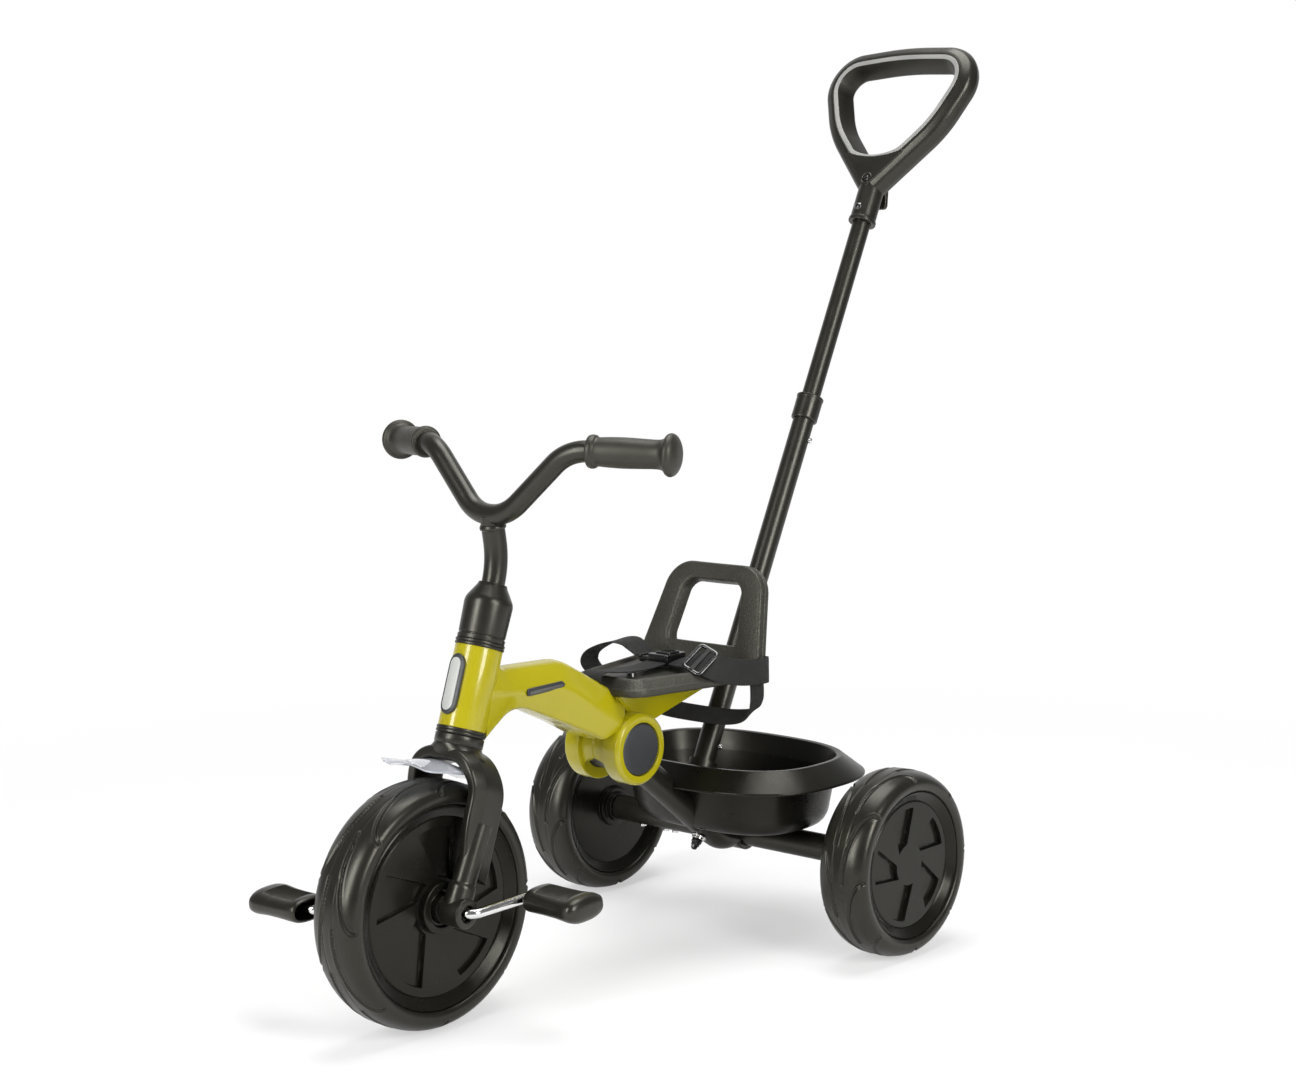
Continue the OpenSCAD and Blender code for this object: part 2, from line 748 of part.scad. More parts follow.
// Each ring of the arm: place ahead of the hub, two near the head and two as shares of the run, and
// then heights as shares of the rise
arm_root = 29.2;
arm_flare = 60.6;
arm_mid_shares = [0.41, 0.45, 0.42];
arm_foot_shares = [0.00, 0.09, 0.21];
arm_y = [[1, 1, 1]*(arm_run - arm_root), [1, 1, 1]*(arm_run - arm_flare),
    arm_mid_shares*arm_run, arm_foot_shares*arm_run];
arm_z_shares = [[0.84, 0.66, 0.45], [0.80, 0.63, 0.50], [0.785, 0.63, 0.31], [0.42, 0.22, 0.13]];
arm_top_w = 28;
arm_crease_w = [36, 46, 54, 68];
arm_foot_w = [24, 32, 44, 58];
function arm_ring(i, inset) =
    let (y = -arm_y[i], z = arm_z_shares[i]*arm_rise,
         t = arm_top_w/2 - inset, c = arm_crease_w[i]/2 - inset, f = arm_foot_w[i]/2 - inset)
    [[t, y[0], z[0] - inset], [c, y[1], z[1]], [f, y[2], z[2] + inset],
     [-f, y[2], z[2] + inset], [-c, y[1], z[1]], [-t, y[0], z[0] - inset]];

module hub_disc(side) mirror([side < 0 ? 1 : 0, 0, 0]) translate([hub_len/2 - disc_w, 0, 0]) along_x()
    rotate_extrude() polygon([[0, 0], [hub_d/2, 0], [hub_d/2, disc_w - disc_chamfer],
        [hub_d/2 - disc_chamfer, disc_w], [0, disc_w]]);

slot_from = -down_slope - fold_angle - slot_margin;
slot_to = slot_margin - down_slope;
module fold_slot() across(2*slot_half) polygon(concat([[0, 0]],
    [for (k = [0:8]) let (a = slot_from + (slot_to - slot_from)*k/8) hub_d*[cos(a), sin(a)]]));

module badge_frame() steer() translate([0, -head_d/2, head_from_axle + head_len/2])
    rotate([90, 0, 0]) children();
module oblong(w, h, t) {
    linear_extrude(t) square([w, h - w], center = true);
    for (s = [-1, 1]) translate([0, s*(h - w)/2, 0]) cylinder(h = t, d = w);
}
module inlay_place(side) at_hub() mirror([side < 0 ? 1 : 0, 0, 0])
    translate([inlay_side, -inlay_shares.x*arm_run, inlay_shares.y*arm_rise])
        rotate([inlay_turn, 0, 0]) rotate([90, 0, 90]) children();
screw_shares = [[0.62, 0.64], [0.46, 0.56], [0.24, 0.36]];
screw_post_d = 10;
module screw_at(s) at_hub() translate([0, -s.x*arm_run, s.y*arm_rise]) along_x() children();

module frame_body() difference() {
    union() {
        difference() {
            at_hub() loft([for (i = [0:3]) arm_ring(i, 0)]);
            at_hub() loft([for (i = [1:3]) arm_ring(i, shell_wall)]);
        }
        intersection() {
            at_hub() loft([for (i = [1:3]) arm_ring(i, shell_wall/2)]);
            for (s = screw_shares) screw_at(s) cylinder(h = hub_len, d = screw_post_d, center = true);
        }
        steer() translate([0, 0, head_from_axle]) cylinder(h = head_len, d = head_d);
        at_hub() along_x() cylinder(h = 2*barrel_end, d = barrel_d, center = true);
        for (s = [-1, 1]) at_hub() hub_disc(s);
    }
    for (s = screw_shares) screw_at(s)
        cylinder(h = screw_len + 2*fit_gap, d = screw_d + 2*fit_gap, center = true);
    steer() translate([0, 0, head_from_axle - cut])
        cylinder(h = head_len + 2*cut, d = head_tube_d + 2*fit_gap);
    at_hub() along_x() cylinder(h = hub_len + 2*cut, d = inner_barrel_d + 2*fit_gap, center = true);
    for (s = [-1, 1]) at_hub() mirror([s < 0 ? 1 : 0, 0, 0]) translate([barrel_end, 0, 0]) along_x()
        cylinder(h = hub_len/2, d = button_d + 2*button_clear);
    at_hub() fold_slot();
    badge_frame() translate([0, 0, -badge_sink]) oblong(badge_w + 2*fit_gap, badge_h + 2*fit_gap, badge_t);
    for (s = [-1, 1]) inlay_place(s) rotate(90)
        oblong(inlay_h + 2*fit_gap, inlay_len + 2*fit_gap, inlay_t*4);
}
module frame_half(side) intersection() {
    frame_body();
    mirror([side < 0 ? 1 : 0, 0, 0]) translate([0, -2*wheelbase, 0]) cube([hub_len, 2*wheelbase, 2*hub_z]);
}
module frame_shell_left() color(frame_green) frame_half(1);
module frame_shell_right() color(frame_green) frame_half(-1);

module badge_bezel() color(dark_grey) difference() {
    badge_frame() translate([0, 0, -badge_sink]) oblong(badge_w, badge_h, badge_t);
    badge_frame() translate([0, 0, badge_t - badge_sink - badge_plate_t])
        oblong(badge_plate_w + 2*fit_gap, badge_plate_h + 2*fit_gap, badge_t);
    steer() translate([0, 0, head_from_axle - cut])
        cylinder(h = head_len + 2*cut, d = head_tube_d + 2*fit_gap);
}
module badge_plate() color(pale_grey) badge_frame() translate([0, 0, badge_t - badge_sink - badge_plate_t])
    oblong(badge_plate_w, badge_plate_h, badge_plate_t);
module side_inlays() color(dark_grey) for (s = [-1, 1]) inlay_place(s)
    rotate(90) oblong(inlay_h, inlay_len, inlay_t);
module frame_screws() color(bright_metal) for (s = screw_shares) screw_at(s)
    cylinder(h = screw_len, d = screw_d, center = true);

// Fold buttons, springs and the barrel that turns in the hub

module button_at(side) at_hub() mirror([side < 0 ? 1 : 0, 0, 0])
    translate([hub_len/2 - button_sink - button_t, 0, 0]) along_x() union() {
        cylinder(h = button_t, d = button_d);
        translate([0, 0, -button_stem_len]) cylinder(h = button_stem_len + cut, d = button_stem_d);
    }
module left_fold_button() color(dark_grey) button_at(1);
module right_fold_button() color(dark_grey) button_at(-1);

spring_room = hub_len/2 - button_sink - button_t - button_stem_len - button_travel - web_half - gap;
module button_springs() color(bright_metal) for (s = [-1, 1]) at_hub() mirror([s < 0 ? 1 : 0, 0, 0])
    translate([web_half, 0, 0]) along_x() ring(spring_d, spring_d - 2*spring_wall, spring_room);

module fold_barrel() color(dark_grey) at_hub() along_x() difference() {
    cylinder(h = 2*(barrel_end - gap), d = inner_barrel_d, center = true);
    for (s = [-1, 1]) rotate([s < 0 ? 180 : 0, 0, 0]) translate([0, 0, web_half])
        cylinder(h = barrel_end, d = inner_barrel_d - 2*shell_wall);
}

// Rear frame

down_corner = [0, (hub_z - rear_r)/tan(down_slope) - hub_ahead, rear_r];
down_way = unit(down_corner - hub_at);
down_points = [hub_at + down_way*inner_barrel_d/4, down_corner, [0, -sleeve_d/4, rear_r]];
down_radii = [for (p = down_points) down_bend_r];
module down_tube() color(satin_black) difference() {
    union() {
        pipe(down_points, down_radii, down_tube_d/2);
        translate([0, 0, rear_r]) along_x() cylinder(h = sleeve_len, d = sleeve_d, center = true);
    }
    at_hub() along_x() cylinder(h = hub_len, d = inner_barrel_d + 2*fit_gap, center = true);
    translate([0, 0, rear_r]) along_x()
        cylinder(h = 2*down_tube_d, d = axle_tube_d + 2*fit_gap, center = true);
    basket_bolt_line() cylinder(h = 2*down_tube_d, d = bolt_d + 2*fit_gap, center = true);
}

module axle_tube() color(satin_black) translate([0, 0, rear_r]) along_x() difference() {
    cylinder(h = 2*axle_tube_reach, d = axle_tube_d, center = true);
    cylinder(h = 2*(axle_tube_reach - axle_plug), d = axle_tube_d - 2*tube_wall, center = true);
    cylinder(h = 2*axle_tube_reach + 2*cut, r = axle_r + fit_gap, center = true);
}
module axle_rod() color(bright_metal) translate([0, 0, rear_r]) along_x()
    cylinder(h = track + 2*rod_end, r = axle_r, center = true);

module basket_bolt_line() translate(hub_at + down_way*bolt_from_hub) rotate([-down_slope, 0, 0]) children();
module basket_bolt() color(bright_metal) basket_bolt_line() {
    reach = down_tube_d/2 + fit_gap;
    translate([0, 0, -reach - bolt_washer_t - bolt_nut_h/2])
        cylinder(h = 2*reach + bolt_washer_t + bolt_nut_h/2 - gap, d = bolt_d);
    translate([0, 0, -reach - bolt_washer_t]) cylinder(h = bolt_washer_t, d = bolt_washer_d);
    translate([0, 0, -reach - bolt_washer_t - bolt_nut_h]) cylinder(h = bolt_nut_h, d = bolt_nut_d);
}
module axle_screws() color(bright_metal) for (x = axle_screw_x)
    translate([x, 0, rear_r - axle_tube_d/2 - axle_screw_proud])
        cylinder(h = axle_screw_proud - fit_gap, d = screw_head_d);

// Basket: a tapered tub with a sloping rim and a tunnel for the down tube and the socket

module basket_plate(w, l, z) translate([0, -basket_back, z]) linear_extrude(gap)
    polygon(superellipse(w/2, l/2, basket_power, basket_steps));
module tub(inset) hull() {
    basket_plate(basket_floor_w - 2*inset, basket_floor_l - 2*inset, basket_z + inset);
    basket_plate(basket_w - 2*inset, basket_l - 2*inset, basket_z + basket_h - gap + (inset > 0 ? cut : 0));
}
module rim_cone(inset) hull() {
    basket_plate(basket_w + 2*rim_overhang - 2*inset, basket_l + 2*rim_overhang - 2*inset,
        basket_z + basket_h - rim_h - (inset > 0 ? cut : 0));
    basket_plate(basket_w - 2*inset, basket_l - 2*inset, basket_z + basket_h - gap - inset);
}
module tunnel(wall) {
    front = basket_l/2 + rim_overhang + basket_back + cut;
    translate([-tunnel_w/2 - wall, -front, 0])
        cube([tunnel_w + 2*wall, front - tunnel_back + wall, tunnel_top + wall]);
    translate([-tunnel_low_w/2 - wall, -front, 0])
        cube([tunnel_low_w + 2*wall, front + tunnel_low_back + wall, tunnel_low_top + wall]);
}
module basket() color(satin_black) difference() {
    union() {
        difference() {
            tub(0);
            tub(basket_wall);
        }
        difference() {
            rim_cone(0);
            rim_cone(basket_wall);
            tub(basket_wall/2);
        }
        intersection() {
            tub(basket_wall/2);
            tunnel(basket_wall);
        }
    }
    tunnel(0);
    rod(hub_at, down_corner, down_tube_d/2 + socket_hole_gap);
    push_line() cylinder(h = 2*basket_h, d = socket_collar_d + 2*socket_hole_gap, center = true);
}

module push_socket() color(satin_black) difference() {
    push_line() union() {
        translate([0, 0, -socket_foot]) cylinder(h = socket_foot, d = push_low_d + 2*socket_wall);
        translate([0, 0, -socket_collar_h]) cylinder(h = socket_collar_h, d = socket_collar_d);
    }
    push_line() translate([0, 0, -socket_depth - gap])
        cylinder(h = socket_depth + gap + cut, d = push_low_d + 2*fit_gap);
    rod(hub_at, down_corner, down_tube_d/2 + fit_gap);
}

// Seat and harness

pan_back = pan_front - pan_len;
module pan_outline(inset) polygon(rounded([
    [-pan_front_w/2 + inset, -pan_front + inset], [pan_front_w/2 - inset, -pan_front + inset],
    [pan_w/2 - inset, -pan_back - inset], [-pan_w/2 + inset, -pan_back - inset]], pan_corner_r - inset));
module back_frame() translate([0, -pan_back - back_t - back_setback, seat_z + pan_t/2])
    rotate([-back_lean, 0, 0]) rotate([90, 0, 0]) translate([0, 0, -back_t]) children();
module seat() color(satin_black) difference() {
    union() {
        translate([0, 0, seat_z]) linear_extrude(pan_t) pan_outline(0);
        back_frame() linear_extrude(back_t) polygon(concat(
            [[-pan_w/2, 0], [pan_w/2, 0]],
            fillet([pan_w/2, 0], [back_top_w/2, back_h], [0, back_h], back_corner_r, 5),
            fillet([0, back_h], [-back_top_w/2, back_h], [-pan_w/2, 0], back_corner_r, 5)));
    }
    translate([0, 0, seat_z + pan_t - pan_sink]) linear_extrude(pan_sink + cut) intersection() {
        pan_outline(pan_border);
        translate([-pan_w, -pan_front - cut]) square([2*pan_w, pan_len - back_t - pan_border]);
    }
    back_frame() translate([0, 0, -cut]) linear_extrude(back_t + 2*cut) polygon(rounded([
        [-back_hole_w/2, back_hole_up], [back_hole_w/2, back_hole_up],
        [back_hole_top_w/2, back_hole_up + back_hole_h],
        [-back_hole_top_w/2, back_hole_up + back_hole_h]], back_hole_r));
    seat_bolt_places() translate([0, 0, -screw_len])
        cylinder(h = 2*screw_len + pan_t, d = bolt_seat_d + 2*fit_gap);
    arm_room();
}
module seat_bolt_places() for (k = [0, 1])
    translate([0, k*bolt_seat_spacing - bolt_seat_ahead, seat_z]) children();
module seat_bolts() color(bright_metal) seat_bolt_places() {
    translate([0, 0, -screw_len + gap]) cylinder(h = screw_len + pan_t - pan_sink - gap, d = bolt_seat_d);
    translate([0, 0, pan_t - pan_sink]) cylinder(h = bolt_seat_head_t, d = bolt_seat_head_d);
}

bracket_front = hub_ahead + barrel_d/4;
// Room for the rear of the arm, with the bracket's gap round it and behind it
module arm_room() for (k = [0, 1])
    at_hub() translate([0, 4*k*bracket_gap, 0]) loft([for (i = [2:3]) arm_ring(i, -bracket_gap)]);
module seat_bracket() color(frame_green) difference() {
    across(bracket_w) polygon([
        [-bracket_front, seat_z], [-bracket_rear, seat_z], [-bracket_rear, seat_z - bracket_edge],
        [-hub_ahead + barrel_d/2, hub_z + barrel_d/4], [-hub_ahead, hub_z]]);
    at_hub() along_x() cylinder(h = hub_len, d = barrel_d + 2*bracket_gap, center = true);
    arm_room();
    seat_bolt_places() translate([0, 0, -screw_len])
        cylinder(h = screw_len + cut, d = bolt_seat_d + 2*fit_gap);
}

belt_top = seat_z + pan_t + web_t/2 + belt_gap;
belt_low = seat_z - web_t/2 - belt_gap;
// Strip of webbing standing on an outline in X and Z
module belt(points) rotate([90, 0, 0]) linear_extrude(web_w, center = true) polygon(strip(points, web_t));
module buckle_at(z) translate([0, -buckle_y, z]) children();
module left_belt_at(z) buckle_at(z) translate([buckle_l/2 + buckle_gap, 0, 0]) rotate(belt_turn) children();
module lap_belt_left() color(web_black) left_belt_at(0) belt([
    [belt_reach - belt_under, belt_low], [belt_reach, belt_low], [belt_reach, belt_top],
    [belt_reach - belt_under, belt_top], [web_w*sin(belt_turn)/2, belt_top]]);
module lap_belt_right() color(web_black) translate([0, -loop_y, 0]) belt([
    for (i = [0:len(loop_x_shares) - 1]) [-loop_x_shares[i]*pan_w/2, belt_low + loop_z_shares[i]*loop_h]]);
module crotch_strap() color(web_black) across(web_w) polygon(strip([
    [-pan_front - web_t/2 - belt_gap, belt_top - crotch_drop], [-pan_front - web_t/2 - belt_gap, belt_top],
    [-buckle_y - buckle_w/2 - buckle_gap, belt_top]], web_t));
module hanging_strap() color(web_black) {
    line = [for (k = [0:hang_steps]) let (a = 180*k/hang_steps) [hang_x*cos(a), -hang_y - hang_bow*sin(a)]];
    translate([0, 0, seat_z - hang_drop]) linear_extrude(hang_w) polygon(strip(line, web_t));
    for (s = [-1, 1]) translate([s*hang_x - web_t/2, -hang_y - hang_w/2, seat_z - hang_drop])
        cube([web_t, hang_w, hang_drop - belt_gap]);
}
module buckle_box(l, w, h) translate([0, 0, h/2]) cube([l, w, h], center = true);
module buckle_socket() color(web_black) buckle_at(seat_z + pan_t + belt_gap)
    buckle_box(buckle_l, buckle_w, buckle_h);
module buckle_tongue() color(web_black) buckle_at(seat_z + pan_t + belt_gap)
    translate([-buckle_l/2 - tongue_l/2 - buckle_gap/2, 0, 0])
        buckle_box(tongue_l, buckle_w*3/4, buckle_h*3/4);
module belt_slider() color(web_black) left_belt_at(belt_top + web_t/2 + belt_gap)
    translate([slider_from + slider_l/2, 0, 0]) difference() {
        buckle_box(slider_l, slider_w, slider_t);
        for (s = [-1, 1]) translate([s*slider_l/4, 0, -cut])
            buckle_box(slider_l/2 - slider_bar*3/2, slider_w - 2*slider_bar, slider_t + 2*cut);
    }

// Push bar

push_stop = push_low_len - push_lap;
module push_tube_lower() color(satin_black) push_line() difference() {
    translate([0, 0, -socket_depth]) ring(push_low_d, push_up_d + 2*fit_gap, socket_depth + push_low_len);
    for (at = [lock_low_at, lock_high_at]) lock_place(at) cylinder(h = push_low_d, d = lock_d + 2*fit_gap);
}
module push_collar() color(satin_black) push_line()
    translate([0, 0, push_low_len - push_collar_h]) difference() {
    cylinder(h = push_collar_h + tube_wall, d = push_collar_d);
    translate([0, 0, -cut]) cylinder(h = push_collar_h + cut + fit_gap, d = push_low_d + 2*fit_gap);
    cylinder(h = push_collar_h + 2*tube_wall, d = push_up_d + 2*fit_gap);
}
module lock_place(at) translate([0, 0, at]) rotate([0, 90, lock_turn]) children();
module lock_button(at) push_line() lock_place(at) {
    translate([0, 0, push_up_d/2 + fit_gap + lock_travel]) cylinder(h = lock_proud + gap, d = lock_d);
    translate([0, 0, push_low_d/2 + lock_travel + gap])
        cylinder(h = lock_proud, d1 = lock_head_d, d2 = lock_d);
}
module bar_lock_button() color(bright_metal) lock_button(lock_low_at);
module height_lock_button() color(bright_metal) lock_button(lock_high_at);

module push_tube_upper() color(satin_black) push_line() translate([0, 0, push_stop])
    ring(push_up_d, push_up_d - 2*tube_wall, push_lap + push_up_len + neck_h - gap);

handle_half = [
    [0, 0, -neck_h/4], [handle_w*handle_mid_share.x, 0, handle_h*handle_mid_share.y],
    [handle_w/2 + handle_top_bow, 0, handle_h]
];
handle_points = concat(handle_half, [[0, 0, handle_h + handle_top_bow]],
    [for (i = [2:-1:0]) flip(handle_half[i])]);
handle_radii = [0, handle_side_r, handle_corner_r, handle_top_r, handle_corner_r, handle_side_r, 0];
module handle_frame() push_line() translate([0, 0, handle_at]) children();
module neck_bore() translate([0, 0, -neck_h - cut]) cylinder(h = neck_h + cut, d = push_up_d + 2*fit_gap);
module push_handle() color(satin_black) handle_frame() difference() {
    union() {
        pipe(handle_points, handle_radii, handle_d/2);
        translate(handle_half[0]) sphere(d = handle_d);
        translate([0, 0, -neck_h]) cylinder(h = neck_h, d = neck_d);
        translate([0, 0, -neck_h]) cylinder(h = neck_lip_h, d = neck_lip_d);
        rotate([90, 0, 0]) linear_extrude(handle_web_t, center = true) web_outline(handle_web_shares);
    }
    neck_bore();
    translate([0, -plate_front, 0]) rotate([90, 0, 0]) linear_extrude(handle_d) offset_web();
}
module web_outline(shares) polygon([
    for (p = shares) [p.x*handle_w, p.y*handle_h],
    [-shares[1].x*handle_w, shares[1].y*handle_h]]);
module offset_web() web_outline([for (p = plate_shares) p]);
module handle_plate() color(dark_grey) handle_frame() translate([0, -plate_front - fit_gap, 0])
    rotate([90, 0, 0]) linear_extrude(plate_t) web_outline(plate_shares);
module handle_screws() color(bright_metal) handle_frame()
    translate([0, -plate_front - plate_t - fit_gap, handle_h*plate_shares[2].y*2/3]) rotate([90, 0, 0])
        cylinder(h = handle_screw_t, d = handle_screw_d);
module handle_lever() color(satin_black) handle_frame() translate([0, handle_d/2 + gap, 0])
    rotate([lever_lean, 0, 0]) {
        translate([-lever_w/2, 0, -lever_len]) cube([lever_w, lever_t, lever_len]);
        translate([0, lever_t/2, 0]) along_x() cylinder(h = lever_w, d = lever_t, center = true);
    }

part() frame_shell_left();
part() frame_shell_right();
part() head_tube();
part() upper_bearing();
part() lower_bearing();
part() badge_bezel();
part() badge_plate();
part() side_inlays();
part() frame_screws();
part() seat_bracket();
part() seat();
part() seat_bolts();
part() lap_belt_left();
part() lap_belt_right();
part() crotch_strap();
part() hanging_strap();
part() buckle_socket();
part() buckle_tongue();
part() belt_slider();
part() fork_crown();
part() fork_legs();
part() steerer_tube();
part() head_cap();
part() stem();
part() handlebar();
part() left_grip();
part() right_grip();
part() mudguard();
part() front_tyre();
part() front_wheel_left();
part() front_wheel_right();
part() pedal_crank();
part() left_pedal();
part() right_pedal();
part() left_fold_button();
part() right_fold_button();
part() button_springs();
part() fold_barrel();
part() down_tube();
part() axle_tube();
part() axle_rod();
part() basket();
part() push_socket();
part() basket_bolt();
part() axle_screws();
part() left_rear_tyre();
part() left_rear_outer();
part() left_rear_inner();
part() right_rear_tyre();
part() right_rear_outer();
part() right_rear_inner();
part() push_tube_lower();
part() push_collar();
part() bar_lock_button();
part() height_lock_button();
part() push_tube_upper();
part() push_handle();
part() handle_plate();
part() handle_screws();
part() handle_lever();
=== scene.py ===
# %% [markdown]
# # Dressing a toddler's push along trike
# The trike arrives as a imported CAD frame: exact solids that already sit at their real size and place.
# This lesson gives them their looks. Each visible moulding, tube, tyre and strap becomes a surface worked
# out with numpy, and each finish becomes a small node material. The CAD parts are never moved.

# %% Load the frame
import bmesh
import bpy
import numpy as np
from mathutils import Matrix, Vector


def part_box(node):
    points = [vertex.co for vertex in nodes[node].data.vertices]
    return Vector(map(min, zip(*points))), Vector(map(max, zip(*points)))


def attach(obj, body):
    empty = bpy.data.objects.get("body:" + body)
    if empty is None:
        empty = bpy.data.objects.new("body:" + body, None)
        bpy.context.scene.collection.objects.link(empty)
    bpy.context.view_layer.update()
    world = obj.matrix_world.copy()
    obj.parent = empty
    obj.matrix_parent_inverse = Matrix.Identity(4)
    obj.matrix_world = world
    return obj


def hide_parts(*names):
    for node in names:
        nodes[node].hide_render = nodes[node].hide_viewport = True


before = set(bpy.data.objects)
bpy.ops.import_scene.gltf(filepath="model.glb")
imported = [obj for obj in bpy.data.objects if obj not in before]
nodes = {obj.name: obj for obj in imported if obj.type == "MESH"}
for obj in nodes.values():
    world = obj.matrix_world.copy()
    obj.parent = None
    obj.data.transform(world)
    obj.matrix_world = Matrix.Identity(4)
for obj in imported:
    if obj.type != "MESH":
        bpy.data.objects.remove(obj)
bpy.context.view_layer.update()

# %% [markdown]
# ## Where things are
# Sizes below are millimetres in the part's own frame, which is how a trike is drawn: +X is the rider's
# left, -Y is forwards and +Z is up. The axles and the fold hub are read from the frame. The steering
# column, the push bar and the cranks lean, so each has a small function that turns a shape drawn upright
# into its leaning place.

# %% Reference places
MM = 0.001
HEAD_LEAN = 19.0
PUSH_LEAN = 26.7
CRANK_TURN = 3.0
BACK_LEAN = 20.0
PUSH_FOOT = (0.0, -60.6, 194.6)
BACK_FOOT = (0.0, -73.0, 306.0)


def box_mm(node):
    """Lowest and highest corner of a CAD node, in millimetres."""
    low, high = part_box(node)
    return np.array(low) / MM, np.array(high) / MM


def centre(node):
    """Middle of a CAD node's box, in millimetres."""
    return sum(box_mm(node)) / 2


REAR_AXLE = centre("axle_rod")
FRONT_AXLE = centre("front_tyre")
HUB = centre("fold_barrel")


def turn_x(points, degrees):
    """Points turned about X: y' = y cos - z sin and z' = y sin + z cos."""
    p = np.asarray(points, float)
    c, s = np.cos(np.radians(degrees)), np.sin(np.radians(degrees))
    return np.stack([p[..., 0], p[..., 1] * c - p[..., 2] * s, p[..., 1] * s + p[..., 2] * c], -1)


def from_rear(points):
    """Points drawn from the floor under the rear axle, moved into the part's frame."""
    return np.asarray(points, float) + [0, REAR_AXLE[1], 0]


def from_hub(points):
    """Points drawn from the middle of the fold hub."""
    return np.asarray(points, float) + HUB


def steer(points):
    """Points drawn along an upright steering column from the front axle, leaned back with the fork."""
    return turn_x(points, -HEAD_LEAN) + FRONT_AXLE


def cranked(points):
    """Points drawn from the front axle with level cranks, turned with them."""
    return turn_x(points, CRANK_TURN) + FRONT_AXLE


def push_line(points):
    """Points drawn along an upright push bar from its socket's rim, leaned back with it."""
    return turn_x(points, -PUSH_LEAN) + from_rear(PUSH_FOOT)


def backrest_line(points):
    """Points drawn on an upright backrest (side, depth, height), leaned back with it."""
    return turn_x(points, -BACK_LEAN) + from_rear(BACK_FOOT)


print("front axle", FRONT_AXLE.round(1), "hub", HUB.round(1), "rear axle", REAR_AXLE.round(1))

# %% [markdown]
# ## From formulas to meshes
# Nearly every piece of a trike is a profile spun about an axle, a profile carried along a bent tube, or an
# outline with rounded edges. A handful of helpers covers all three. Each returns a grid of points as one
# array, and `skin` joins neighbouring grid points with quads.

# %% Outline and grid helpers
def unit(v):
    """Vectors scaled to length one."""
    return v / np.maximum(np.linalg.norm(v, axis=-1, keepdims=True), 1e-9)


LEG_SHARE = 0.48  # most of a leg that one rounded corner may take


def soften(points, radius, steps=7, closed=False):
    """A line of points with each corner replaced by an arc of the given radius.

    An arc touches both legs at radius / tan(half the corner) from the corner, or just short of half a leg.
    """
    p = np.asarray(points, float)
    before, after = np.roll(p, 1, 0) - p, np.roll(p, -1, 0) - p
    u, v = unit(before), unit(after)
    half = np.arccos(np.clip((u * v).sum(-1), -1, 1)) / 2
    reach = np.minimum(np.linalg.norm(before, axis=-1), np.linalg.norm(after, axis=-1)) * LEG_SHARE
    touch = np.minimum(np.broadcast_to(radius, half.shape) / np.tan(half), reach)[:, None]
    middle = p + unit(u + v) * touch / np.cos(half)[:, None]
    t = np.linspace(0, 1, steps)[None, :, None]
    ray = (p + u * touch - middle)[:, None] * (1 - t) + (p + v * touch - middle)[:, None] * t
    arcs = middle[:, None] + unit(ray) * (touch * np.tan(half)[:, None])[:, None]
    if closed:
        return arcs.reshape(-1, p.shape[1])
    return np.vstack([p[:1], arcs[1:-1].reshape(-1, p.shape[1]), p[-1:]])


def walked(path):
    """Distance walked along a line of points, at each point."""
    return np.concatenate([[0], np.cumsum(np.linalg.norm(np.diff(path, axis=0), axis=1))])


def evenly(path, count):
    """A line of points walked again in equal steps."""
    along = walked(path)
    at = np.linspace(0, along[-1], count)
    return np.stack([np.interp(at, along, path[:, k]) for k in range(path.shape[1])], -1)


def spline(points, count):
    """A smooth line through all points: a cubic between each pair, with slopes of the neighbours' chord."""
    p = np.asarray(points, float)
    slope = np.gradient(p, axis=0)
    at = np.linspace(0, len(p) - 1, count)
    i = np.minimum(at.astype(int), len(p) - 2)
    t = (at - i)[:, None]
    return ((2 * t**3 - 3 * t**2 + 1) * p[i] + (t**3 - 2 * t**2 + t) * slope[i]
            + (3 * t**2 - 2 * t**3) * p[i + 1] + (t**3 - t**2) * slope[i + 1])


def oval(half_a, half_b, power=2.0, count=48):
    """Superellipse: a point moves round with |x/a|^n + |y/b|^n = 1."""
    t = np.linspace(0, 2 * np.pi, count, endpoint=False)
    c, s = np.cos(t), np.sin(t)
    a = np.asarray(half_a, float)[..., None]
    b = np.asarray(half_b, float)[..., None]
    bend = 2 / power
    return np.stack([a * np.sign(c) * np.abs(c) ** bend, b * np.sign(s) * np.abs(s) ** bend], -1)


def step(x):
    """Smooth ramp from 0 to 1."""
    x = np.clip(x, 0, 1)
    return x * x * (3 - 2 * x)


def bell(away, width):
    """A bump of height one that falls off with exp(-(away / width)^2)."""
    return np.exp(-((away / width) ** 2))


def stacked(rings, heights):
    """Flat rings of (x, y) points, each lifted to its own height."""
    return np.concatenate([rings, np.broadcast_to(heights[:, None, None], rings.shape[:2] + (1,))], -1)


def lathe(profile, count=96):
    """A profile of (radius, height) points spun about Z."""
    p = np.asarray(profile, float)
    t = np.linspace(0, 2 * np.pi, count, endpoint=False)
    r, h = p[:, :1], p[:, 1:]
    return np.stack([r * np.cos(t), r * np.sin(t), np.broadcast_to(h, (len(p), count))], -1)


def about_x(grid):
    """A shape about Z laid over so that its axis is X."""
    return grid[..., [2, 0, 1]]


def aim(grid, origin, way):
    """A shape about Z moved so that its foot is at origin and its axis runs the given way."""
    w = unit(np.asarray(way, float))
    u = unit(np.cross(w, [0, 0, 1] if abs(w[2]) < 0.9 else [1, 0, 0]))
    return np.asarray(origin, float) + grid[..., :1] * u + grid[..., 1:2] * np.cross(w, u) + grid[..., 2:] * w


